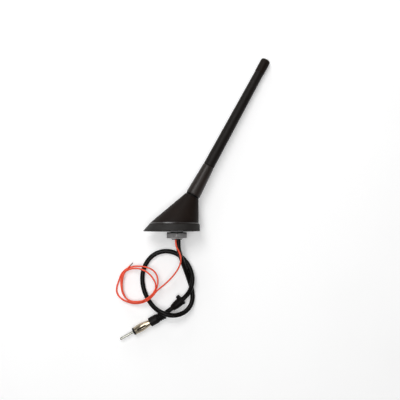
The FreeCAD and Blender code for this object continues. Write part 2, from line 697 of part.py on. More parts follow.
# Washer and nut on the stud, and the rubber gland with the two leads moulded in
def make_fixings():
    washer = doc.addObject("PartDesign::Body", "lock_washer")
    ring = sketch_on(washer, "XY_Plane", "WasherRing", "-nut_gap - washer_thickness")
    circle(ring, "washer_radius")
    circle(ring, "stud_radius + hole_clearance")
    feature(washer, "Pad", ring, "washer_thickness")
    notch = sketch_on(washer, "XY_Plane", "WasherNotch", "-nut_gap")
    outline(notch, [
        ("washer_radius - notch_depth", "-notch_width / 2"),
        ("washer_radius + notch_depth", "-notch_width / 2"),
        ("washer_radius + notch_depth", "notch_width / 2"),
        ("washer_radius - notch_depth", "notch_width / 2"),
    ])
    cut_notch = feature(washer, "Pocket", notch, "washer_thickness")
    notches = washer.newObject("PartDesign::PolarPattern", "WasherNotches")
    notches.Originals = [cut_notch]
    notches.Axis = (notch, ["N_Axis"])
    notches.Angle = 360
    notches.Occurrences = WASHER_NOTCHES
    washer.Tip = notches
    keep(washer, "lock_washer", LYING)

    nut = doc.addObject("PartDesign::Body", "roof_nut")
    top = "-nut_gap - washer_thickness"
    foot = f"{top} - nut_height"
    hexagon = sketch_on(nut, "XY_Plane", "NutHexagon", foot)
    flat = "nut_flats / 2"
    half_side = "nut_flats / 2 * tan(30)"
    corner = "nut_flats / sqrt(3)"
    outline(hexagon, [
        ("0", corner), (f"-{flat}", half_side), (f"-{flat}", f"-{half_side}"),
        ("0", f"-{corner}"), (flat, f"-{half_side}"), (flat, half_side),
    ])
    feature(nut, "Pad", hexagon, "nut_height")
    bore = sketch_on(nut, "XY_Plane", "NutBore", top)
    circle(bore, "stud_radius + thread_clearance")
    feature(nut, "Pocket", bore, "nut_height")
    chamfers = sketch_on(nut, "XZ_Plane", "NutChamfers")
    for face, sign in ((top, "-"), (foot, "+")):
        outline(chamfers, [
            (flat, face),
            (f"{corner} * 1.05", face),
            (f"{corner} * 1.05", f"{face} {sign} nut_chamfer * 1.4"),
        ])
    spin(nut, chamfers, "Groove")
    keep(nut, "roof_nut", LYING)

    lip = "-stud_reach - gland_lip"
    turned("cable_gland", [
        ("0", lip),
        ("gland_lip_radius", lip),
        ("gland_lip_radius", "-stud_reach"),
        ("stud_bore - seat_clearance", "-stud_reach"),
        ("stud_bore - seat_clearance", "gland_length - stud_reach"),
        ("0", "gland_length - stud_reach"),
    ], LYING)
    for label, radius, x, y in (("coax_tail", "coax_radius", "coax_x", "coax_y"),
                                ("power_tail", "wire_radius", "wire_x", "wire_y")):
        turned(label, [
            ("0", "gland_length - stud_reach"),
            (radius, "gland_length - stud_reach"),
            (radius, "board_height"),
            ("0", "board_height"),
        ], LYING * Placement(V(value(x), value(y), 0), Rotation()))


# Leads on the floor, from the gland's face to the boot, the plug and the coil
def make_leads():
    down = LYING.Rotation.multVec(V(0, 0, -1))
    gland_face = -value("stud_reach + gland_lip")
    coax_exit = LYING.multVec(V(value("coax_x"), value("coax_y"), gland_face))
    wire_exit = LYING.multVec(V(value("wire_x"), value("wire_y"), gland_face))
    plug_way = V(math.cos(math.radians(PLUG_HEADING)), math.sin(math.radians(PLUG_HEADING)), 0)
    plug_back = on_floor(*PLUG_BACK, value("plug_cap"))
    bend = plug_back - plug_way * PLUG_BEND
    mouth = on_floor(*BOOT_MOUTH)
    boot_way = (bend - mouth).normalize()
    coax_end = plug_back + plug_way * value("lead_in_plug")
    tube("coax_lead", [
        coax_exit,
        coax_exit + down * COAX_STRAIGHT,
        *[on_floor(*point) for point in COAX_ROUTE],
        mouth - boot_way * BOOT_MARGIN,
        bend,
        coax_end,
    ], value("coax_radius"))
    tube("power_lead", [
        wire_exit,
        wire_exit + down * WIRE_STRAIGHT,
        *[on_floor(*point) for point in WIRE_ROUTE],
    ], value("wire_radius"))
    upright = V(0, 0, 1)
    make_boot(Placement(mouth, facing(boot_way, boot_way.cross(upright))))
    make_plug(Placement(plug_back, facing(plug_way, upright)))
    make_coil()


def facing(way, side):
    """The rotation that turns z along the way and x to that side."""
    return Rotation(side, way.cross(side), way, "ZXY")


def make_boot(placement):
    bore = "coax_radius + lead_clearance"
    shoulder = "boot_length - boot_taper"
    body = turned("cable_boot", [
        (bore, "0"),
        ("boot_flange", "0"),
        ("boot_flange", "boot_flange_length"),
        ("boot_body", "boot_flange_length"),
        ("boot_shoulder", shoulder),
        (f"{bore} + boot_wall", "boot_length"),
        (bore, "boot_length"),
    ], placement)
    lug = sketch_on(body, "XY_Plane", "BootLug")
    circle(lug, "lug_radius", "lug_offset")
    feature(body, "Pad", lug, "lug_length")


# Plug, along its own axis from the back of its cap
def make_plug(placement):
    relief_bore = "coax_radius + relief_slack"
    relief_slope = "(relief_foot - relief_end) / relief_length"
    corners = [(relief_bore, "-relief_length"), ("relief_end", "-relief_length")]
    for index in range(RELIEF_GROOVES):
        start = f"-relief_length * {RELIEF_GROOVES - index} / {RELIEF_GROOVES + 1}"
        for along, depth in ((start, "0"), (start, "groove_depth"),
                             (f"{start} + groove_width", "groove_depth"), (f"{start} + groove_width", "0")):
            radius = f"relief_end + ({along} + relief_length) * {relief_slope} - {depth}"
            corners.append((radius, along))
    turned("plug_relief", corners + [("relief_foot", "0"), (relief_bore, "0")], placement)

    cap_bore = "coax_radius + lead_clearance"
    tail_seat = "plug_cap_length - barrel_tail"
    cap = turned("plug_cap", [
        (cap_bore, "0"),
        ("plug_cap", "0"),
        ("plug_cap", "plug_cap_length"),
        ("barrel_rear + lead_clearance", "plug_cap_length"),
        ("barrel_rear + lead_clearance", tail_seat),
        (cap_bore, tail_seat),
    ], placement)
    dress_edge(cap, "Fillet", "Radius", "plug_cap", "0", "plug_cap_edge")

    stations = [
        ("barrel_rear", tail_seat),
        ("barrel_rear", "plug_cap_length"),
        ("barrel_rear + (barrel_bulge - barrel_rear) * 0.3", "plug_cap_length + slot_start * 0.8"),
        ("barrel_rear + (barrel_bulge - barrel_rear) * 0.8", "plug_cap_length + slot_start + slot_length / 4"),
        ("barrel_bulge", "plug_cap_length + slot_start + slot_length / 2"),
        ("barrel_bulge + (barrel_front - barrel_bulge) * 0.3", "plug_cap_length + slot_start + slot_length * 0.8"),
        ("barrel_front", "plug_cap_length + barrel_length"),
    ]
    outside = loft("BarrelOutside", [
        ring_section(f"BarrelOutside{index}", radius, along)
        for index, (radius, along) in enumerate(stations)
    ])
    inside = loft("BarrelInside", [
        ring_section(f"BarrelInside{index}", f"{radius} - barrel_wall", along)
        for index, (radius, along) in enumerate(stations)
    ])
    slot_z = "plug_cap_length + slot_start"
    slots = fuse("BarrelSlots", [
        box("SlotAcross", "2 * barrel_bulge + barrel_wall", "slot_width", "slot_length",
            "-barrel_bulge - barrel_wall / 2", "-slot_width / 2", slot_z),
        box("SlotAlong", "slot_width", "2 * barrel_bulge + barrel_wall", "slot_length",
            "-slot_width / 2", "-barrel_bulge - barrel_wall / 2", slot_z),
    ])
    keep(cut("BarrelFinished", cut("BarrelWall", outside, inside), slots), "plug_barrel", placement)

    core = "pin_shank + core_wall"
    pin_bore = "pin_shank + moulding_gap"
    mouth = "plug_cap_length + barrel_length"
    insulator_rear = f"{mouth} + insulator_proud - insulator_length"
    insulator_front = f"{mouth} + insulator_proud"
    pin_start = "lead_in_plug + pin_in_core"
    corners = [("0", "lead_in_plug"), (core, "lead_in_plug")]
    for index in range(CORE_RIDGES):
        foot = f"{slot_z} + {index} * core_pitch"
        corners += [(core, foot), (f"{core} + core_ridge", f"{foot} + core_pitch / 2")]
    corners += [
        (core, f"{slot_z} + {CORE_RIDGES} * core_pitch"),
        (core, insulator_rear),
        (pin_bore, insulator_rear),
        (pin_bore, pin_start),
        ("0", pin_start),
    ]
    turned("plug_core", corners, placement)

    turned("plug_insulator", [
        (pin_bore, insulator_rear),
        ("barrel_front - barrel_wall - lead_clearance", insulator_rear),
        ("barrel_front - barrel_wall - lead_clearance", mouth),
        ("barrel_front + insulator_edge", mouth),
        ("barrel_front + insulator_edge", insulator_front),
        (pin_bore, insulator_front),
    ], placement)
    pin_end = f"{insulator_front} + pin_reach"
    pin = turned("plug_pin", [
        ("0", pin_start),
        ("pin_shank", pin_start),
        ("pin_shank", insulator_front),
        ("pin_radius", insulator_front),
        ("pin_radius", pin_end),
        ("0", pin_end),
    ], placement)
    dress_edge(pin, "Fillet", "Radius", "pin_radius", pin_end, "pin_tip")


# Loose coil of the power lead: the outside of its bundle of turns, propped on the coax
def make_coil():
    tilt = math.radians(value("coil_tilt"))
    edge_drop = value("coil_length / 2") * math.sin(tilt)
    middle = edge_drop + value("coil_thickness / 2") * math.cos(tilt)
    coil = doc.addObject("PartDesign::Body", "power_coil")
    ring = sketch_on(coil, "XY_Plane", "CoilRing", "-coil_thickness / 2")
    oval(ring, "coil_length", "coil_width", "0")
    feature(coil, "Pad", ring, "coil_thickness")
    hole = sketch_on(coil, "XY_Plane", "CoilHole", "coil_thickness / 2")
    oval(hole, "coil_length - 2 * coil_bundle", "coil_width - 2 * coil_bundle", "0")
    feature(coil, "Pocket", hole, "coil_thickness")
    keep(coil, "power_coil",
         Placement(on_floor(*COIL_MIDDLE, middle), Rotation(V(0, 1, 0), -value("coil_tilt"))))
    start = on_floor(*WIRE_END_START)
    tip = on_floor(*WIRE_END_TIP)
    joint = start + (tip - start) * INSULATED_SHARE
    way = Rotation(V(0, 0, 1), tip - start)
    for label, radius, foot, end in (("power_end", "wire_radius", start, joint),
                                     ("tinned_end", "tinned_radius", joint, tip)):
        rod = Part.makeCylinder(value(radius), (end - foot).Length)
        item = doc.addObject("Part::Feature", label)
        item.Shape = rod
        keep(item, label, Placement(foot, way))


def check_and_write():
    doc.recompute()
    for item in doc.Objects:
        if "Invalid" in item.State or "Error" in item.State:
            raise RuntimeError(f"{item.Label} failed: {item.State}")
    for item in sub_parts:
        if item.Shape.isNull() or not item.Shape.isValid() or not item.Shape.Solids:
            raise RuntimeError(f"{item.Label} has no valid solid")
    os.makedirs("parts", exist_ok=True)
    for item in sub_parts:
        item.Shape.exportStep(f"parts/{item.Label}.step")
    print(f"{len(sub_parts)} sub-parts, lying tilt {math.degrees(lying_tilt):.3f} degrees, floor {FLOOR:.3f} mm")


make_mast()
make_socket()
make_cover()
make_gasket()
make_plate()
make_screws()
make_amplifier()
make_fixings()
make_leads()
check_and_write()
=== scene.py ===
"""Roof antenna on a pale table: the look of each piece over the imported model, seen from straight above."""
import json
import math

import bmesh
import bpy
from mathutils import Matrix, Vector


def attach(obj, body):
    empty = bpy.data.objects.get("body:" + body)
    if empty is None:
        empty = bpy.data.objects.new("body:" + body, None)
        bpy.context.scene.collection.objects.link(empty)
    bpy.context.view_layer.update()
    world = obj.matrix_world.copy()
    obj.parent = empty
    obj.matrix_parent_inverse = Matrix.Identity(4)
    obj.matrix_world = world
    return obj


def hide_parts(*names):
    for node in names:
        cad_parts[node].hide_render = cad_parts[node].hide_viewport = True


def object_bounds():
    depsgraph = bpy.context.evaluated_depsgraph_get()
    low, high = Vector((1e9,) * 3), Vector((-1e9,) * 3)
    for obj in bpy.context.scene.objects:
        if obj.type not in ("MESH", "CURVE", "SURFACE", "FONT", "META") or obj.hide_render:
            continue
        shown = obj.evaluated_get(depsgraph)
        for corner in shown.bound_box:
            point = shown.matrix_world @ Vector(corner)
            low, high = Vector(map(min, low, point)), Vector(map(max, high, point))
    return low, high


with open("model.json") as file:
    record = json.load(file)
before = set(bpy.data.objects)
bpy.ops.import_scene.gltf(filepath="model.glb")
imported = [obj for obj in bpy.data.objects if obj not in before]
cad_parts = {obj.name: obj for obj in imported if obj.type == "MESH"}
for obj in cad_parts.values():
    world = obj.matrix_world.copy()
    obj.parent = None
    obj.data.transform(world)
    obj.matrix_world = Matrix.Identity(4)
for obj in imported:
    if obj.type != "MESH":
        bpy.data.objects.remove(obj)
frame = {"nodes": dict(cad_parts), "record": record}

cad_low, cad_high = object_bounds()
MM = 0.001

# Sizes in millimetres, the same as in the part's source
BASE_LENGTH, BASE_WIDTH, BASE_SHIFT = 62.8, 40.0, -6.0
RIM_LENGTH, RIM_WIDTH, RIM_SHIFT, RIM_HEIGHT = 56.2, 36.4, -2.9, 7.2
GASKET_WALL, GASKET_FLOOR, LIP_WIDTH, LIP_HEIGHT = 2.7, 2.0, 5.0, 0.8
STUD_HOLE = 7.3
COVER_STEP, BAND_HEIGHT, LEDGE_WIDTH, LEDGE_RISE = 0.4, 0.7, 0.9, 1.2
COLLAR_X, COLLAR_HEIGHT, COLLAR_RADIUS = 16.8, 38.6, 7.9
FLANGE_SEAT, FLANGE_DEPTH = 6.1, 1.5
SEAL_RADIUS, SEAL_THICKNESS, SEAL_HOLE = 7.5, 1.9, 2.8
FERRULE_FOOT, FERRULE_TOP, FERRULE_LENGTH = 8.1, 6.35, 36.2
SHEATH_FOOT, SHEATH_TOP, SHEATH_LENGTH = 6.2, 5.05, 119.6
CAP_FOOT, CAP_RADIUS, CAP_LENGTH, CAP_SKIRT, CAP_CROWN = 5.2, 5.35, 16.8, 1.5, 2.4
STUD_CLEAR, WINDING_CLEAR, ROD_CLEAR = 2.55, 2.7, 2.05
NUT_FLATS, NUT_HEIGHT, NUT_TOP, NUT_BORE, NUT_CHAMFER = 22.0, 5.3, -2.4, 7.05, 1.26
COAX_RADIUS, WIRE_RADIUS = 2.6, 0.9
COAX_EXIT, WIRE_EXIT = (1.5, 0.8, -9.3), (-1.2, -2.6, -9.3)
BOOT_LENGTH, BOOT_FLANGE, BOOT_FLANGE_LENGTH = 15.0, 5.3, 2.2
BOOT_BODY, BOOT_SHOULDER, BOOT_TAPER, BOOT_END, BOOT_BORE = 4.8, 4.5, 5.0, 3.5, 2.7
LUG_RADIUS, LUG_OFFSET, LUG_LENGTH = 2.1, 5.2, 4.2
RELIEF_LENGTH, RELIEF_FOOT, RELIEF_END, RELIEF_BORE = 8.8, 4.6, 5.1, 2.9
RELIEF_GROOVES, GROOVE_WIDTH, GROOVE_DEPTH = 3, 1.0, 0.6
GRIP_RADIUS, GRIP_LENGTH, GRIP_BORE, GRIP_EDGE = 5.2, 9.7, 2.7, 0.9
LEAD_IN_PLUG = 6.0
BARREL_TAIL, BARREL_LENGTH, BARREL_WALL = 4.0, 19.3, 0.6
BARREL_REAR, BARREL_BULGE, BARREL_FRONT = 3.3, 4.7, 4.0
SLOT_WIDTH, SLOT_START, SLOT_LENGTH = 2.2, 5.7, 11.0
CORE_RADIUS, CORE_RIDGE, CORE_PITCH, CORE_RIDGES = 2.4, 0.45, 1.8, 6
INSULATOR_RADIUS, INSULATOR_PROUD, INSULATOR_LENGTH = 4.2, 2.0, 3.6
PIN_RADIUS, PIN_SHANK, PIN_REACH, PIN_TIP = 1.45, 1.2, 17.2, 0.9
TINNED_RADIUS = 0.6

# Finer sizes in millimetres: how the pieces sit in each other, then the roundings of their edges
MAST_PITCH, NUT_PITCH = 0.8, 1.0
ROD_IN_CAP, PIN_ROOT = 9.0, 2.0
GRIP_PLAY, INSERT_PLAY, PIN_PLAY, NUT_AIR = 0.1, 0.1, 0.05, 0.04
CROWN_MARGIN, COVER_WALL, HOLLOW_DROP, HOLLOW_SHARE = 0.1, 2.0, 4.0, 0.9
NUT_CORNER_CUT, NUT_FACE_INSET, NUT_BREAK = 0.15, 0.3, 0.12
FERRULE_EDGE, MAST_JOINT_EDGE, SHEATH_EDGE = 0.8, 0.9, 0.4
CAP_FOOT_EDGE, CAP_SKIRT_EDGE = 0.3, 0.7
SEAL_EDGE, SEAL_HOLE_EDGE = 0.4, 0.1
COVER_FOOT_EDGE, BAND_EDGE, LEDGE_EDGE, COLLAR_EDGE, SEAT_EDGE = 0.1, 0.3, 0.5, 0.8, 0.2
STUD_HOLE_EDGE, LIP_EDGE, SKIRT_EDGE, GASKET_HOLLOW_EDGE = 0.1, 0.3, 0.5, 0.2
NUT_EDGE, NUT_BORE_EDGE = 0.2, 0.4
BOOT_FLANGE_EDGE, BOOT_BODY_EDGE, BOOT_SHOULDER_EDGE = 0.6, 0.4, 0.8
BOOT_END_EDGE, BOOT_MOUTH_EDGE, BOOT_TAIL_EDGE = 0.4, 0.2, 0.1
RELIEF_EDGE, RELIEF_END_EDGE = 0.2, 0.5
GRIP_BORE_EDGE, GRIP_FRONT_EDGE, GRIP_MOUTH_EDGE = 0.2, 0.4, 0.3
CORE_EDGE, CORE_GROOVE_EDGE = 0.2, 0.1
INSERT_STEP_EDGE, INSERT_FRONT_EDGE, INSERT_BORE_EDGE = 0.3, 0.5, 0.1
PIN_EDGE = 0.1

# Leads on the table: x and y as they lie, and the height of the centreline above the table
COAX_ROUTE = [
    (3.4, -26.6, 18.6), (6.6, -35.8, 13.8), (10.2, -46.6, 8.2), (13.8, -57.4, 4.4), (16.8, -68.0, 3.0),
    (17.2, -78.4, 4.4), (13.6, -86.8, 7.2), (6.0, -92.6, 10.2), (-4.6, -94.6, 13.2), (-16.0, -91.6, 14.2),
    (-26.2, -86.0, 8.8), (-34.2, -76.2, 3.0), (-38.8, -64.4, 2.7), (-40.0, -51.6, 2.7), (-37.2, -39.8, 2.7),
    (-30.6, -30.0, 2.7), (-21.2, -24.2, 2.7), (-10.2, -22.9, 2.7), (0.6, -26.4, 3.0), (9.6, -34.2, 5.2),
    (15.2, -43.9, 8.4), (17.4, -54.2, 10.0), (15.4, -65.0, 9.4),
]
WIRE_ROUTE = [
    (2.4, -21.6, 24.8), (4.6, -28.8, 23.2), (3.8, -36.6, 19.8), (-0.2, -44.4, 16.6), (-6.2, -52.2, 14.2),
    (-13.6, -59.4, 12.6), (-22.8, -66.5, 12.2),
]
COAX_STRAIGHT, WIRE_STRAIGHT = 8.7, 7.0
BOOT_MOUTH, BOOT_MARGIN = (5.9, -77.3, 6.2), 5.6
PLUG_HEADING, PLUG_BACK, PLUG_BEND = 209.4, (-22.3, -98.4), 11.0
WIRE_END_START, WIRE_END_TIP, INSULATED_SHARE = (-59.0, -45.4, 4.8), (-49.7, -36.1, 5.8), 0.62

# Loose turns of the power lead: the widest turn first, then two that lie inside it
COIL_TURNS = [
    (-27.4, -73.2), (-35.2, -79.4), (-45.9, -82.2), (-54.6, -81.0), (-63.6, -77.2), (-68.8, -70.8),
    (-68.7, -63.6), (-66.0, -56.4), (-63.4, -48.6), (-56.4, -42.2), (-47.0, -39.7), (-35.4, -40.2),
    (-26.4, -43.8),
    (-21.9, -50.4), (-21.3, -59.0), (-23.8, -66.4), (-29.8, -73.4), (-38.0, -78.6), (-47.2, -80.0),
    (-55.6, -78.4), (-61.6, -71.6), (-63.4, -62.6), (-63.6, -53.8), (-59.4, -46.2), (-51.6, -42.2),
    (-40.2, -42.4), (-31.0, -47.6),
    (-24.8, -55.6), (-23.2, -62.6), (-26.0, -69.0), (-33.6, -76.0), (-44.6, -80.8), (-53.0, -79.8),
    (-58.4, -75.2), (-62.2, -66.6), (-62.0, -57.4), (-60.6, -49.6), (-57.2, -43.8),
]
COIL_MIDDLE_X, COIL_MIDDLE_HEIGHT, COIL_SLOPE = -45.7, 7.56, 0.2053
COIL_LAYERS, COIL_SETTLED = 1.8, 6


# Places: the base as it stands on a roof, the mast on its collar, and the plug and boot along the coax
def facing(origin, way, side):
    """The place whose z runs along the way and whose x points to the side."""
    turn = Matrix((side, way.cross(side), way)).transposed().to_4x4()
    return Matrix.Translation(origin) @ turn


joints = {joint["name"]: joint for joint in frame["record"]["behaviour"]["joints"]}
up = -Vector(joints["nut_turn"]["axis"]).normalized()
mast_way = Vector(joints["mast_turn"]["axis"]).normalized()
UPRIGHT = facing(Vector((0, 0, 0)), up, Vector((1, 0, 0)))
across = UPRIGHT.to_3x3() @ Vector((0, 1, 0))
ON_COLLAR = facing(Vector(joints["mast_turn"]["pos_m"]), mast_way, across.cross(mast_way))
ON_MAST = ON_COLLAR @ Matrix.Translation((0, 0, SEAL_THICKNESS * MM))
lean = up.angle(mast_way)
TABLE = -BASE_WIDTH / 2 * up.y


def on_table(x, y, height):
    return Vector((x, y, TABLE + height)) * MM


def on_base(place):
    return UPRIGHT @ (Vector(place) * MM)


overhead = Vector((0, 0, 1))
plug_way = Vector((math.cos(math.radians(PLUG_HEADING)), math.sin(math.radians(PLUG_HEADING)), 0))
plug_back = on_table(*PLUG_BACK, GRIP_RADIUS)
plug_bend = plug_back - plug_way * PLUG_BEND * MM
boot_mouth = on_table(*BOOT_MOUTH)
boot_way = (plug_bend - boot_mouth).normalized()
ON_PLUG = facing(plug_back, plug_way, overhead)
ON_BOOT = facing(boot_mouth, boot_way, boot_way.cross(overhead).normalized())
wire_start = on_table(*WIRE_END_START)
wire_tip = on_table(*WIRE_END_TIP)
wire_joint = wire_start.lerp(wire_tip, INSULATED_SHARE)


# Finishes: the range and detail of the drift in a shade, then the grain, the rings and the threads
DRIFT_LOW, DRIFT_HIGH, DRIFT_DETAIL, DRIFT_ROUGHNESS = 0.3, 0.7, 5.0, 0.6
GRAIN_DETAIL, GRAIN_STRENGTH = 3.0, 0.6
RING_STRETCH, THREAD_DEPTH = 10, 0.3


def linear(colour):
    """An sRGB hex colour as linear red, green, blue and alpha."""
    channels = [int(colour[at:at + 2], 16) / 255 for at in (1, 3, 5)]
    return [c / 12.92 if c <= 0.04045 else ((c + 0.055) / 1.055) ** 2.4 for c in channels] + [1.0]


def per_mm(size):
    """The texture scale that gives features of that size in millimetres."""
    return 1 / (size * MM)


def add(tree, kind, **inputs):
    """A new node, each of its inputs set to a value or linked to another node's output."""
    node = tree.nodes.new("ShaderNode" + kind)
    for name, given in inputs.items():
        socket = node.inputs[name.replace("_", " ")]
        if isinstance(given, bpy.types.NodeSocket):
            tree.links.new(given, socket)
        else:
            socket.default_value = given
    return node


def finish(name, shades, blotch, gloss, grain, relief, metal=0.0, ior=1.5, sheen=0.5, lathe=None):
    """A material whose shade and gloss drift over blotches, with a fine grain as relief, in millimetres.

    On a turned piece the pattern is drawn out into rings round the axis of its lathe place.
    """
    material = bpy.data.materials.new(name)
    material.use_nodes = True
    tree = material.node_tree
    shader = tree.nodes["Principled BSDF"]
    shader.inputs["Metallic"].default_value = metal
    shader.inputs["IOR"].default_value = ior
    shader.inputs["Specular IOR Level"].default_value = sheen
    place = add(tree, "TexCoord").outputs["Object"]
    if lathe:
        rings = add(tree, "Mapping", Vector=place, Rotation=lathe.to_euler(),
                    Scale=(RING_STRETCH, RING_STRETCH, 1))
        rings.vector_type = "TEXTURE"
        place = rings.outputs["Vector"]
    blotches = add(tree, "TexNoise", Vector=place, Scale=per_mm(blotch), Detail=DRIFT_DETAIL,
                   Roughness=DRIFT_ROUGHNESS)
    drift = blotches.outputs["Fac"]
    shade = add(tree, "ValToRGB", Fac=drift)
    for stop, at, colour in zip(shade.color_ramp.elements, (DRIFT_LOW, DRIFT_HIGH), shades):
        stop.position = at
        stop.color = linear(colour)
    polish = add(tree, "MapRange", Value=drift, From_Min=DRIFT_LOW, From_Max=DRIFT_HIGH,
                 To_Min=gloss[0], To_Max=gloss[1])
    pores = add(tree, "TexNoise", Vector=place, Scale=per_mm(grain), Detail=GRAIN_DETAIL).outputs["Fac"]
    bump = add(tree, "Bump", Height=pores, Strength=GRAIN_STRENGTH, Distance=relief * MM)
    tree.links.new(shade.outputs["Color"], shader.inputs["Base Color"])
    tree.links.new(polish.outputs["Result"], shader.inputs["Roughness"])
    tree.links.new(bump.outputs["Normal"], shader.inputs["Normal"])
    return material


def cut_thread(material, way, pitch):
    """Adds the ridges of a screw thread along the way to a material's relief."""
    tree = material.node_tree
    bump = next(node for node in tree.nodes if node.type == "BUMP")
    along = add(tree, "VectorMath")
    along.operation = "DOT_PRODUCT"
    along.inputs[1].default_value = way
    tree.links.new(add(tree, "TexCoord").outputs["Object"], along.inputs[0])
    turns = add(tree, "Math")
    turns.operation = "MULTIPLY"
    turns.inputs[1].default_value = 2 * math.pi / (pitch * MM)
    tree.links.new(along.outputs["Value"], turns.inputs[0])
    ridges = add(tree, "Math")
    ridges.operation = "SINE"
    tree.links.new(turns.outputs["Value"], ridges.inputs[0])
    thread = add(tree, "Bump", Height=ridges.outputs["Value"], Normal=bump.outputs["Normal"], Strength=1.0,
                 Distance=pitch * THREAD_DEPTH * MM)
    tree.links.new(thread.outputs["Normal"], tree.nodes["Principled BSDF"].inputs["Normal"])


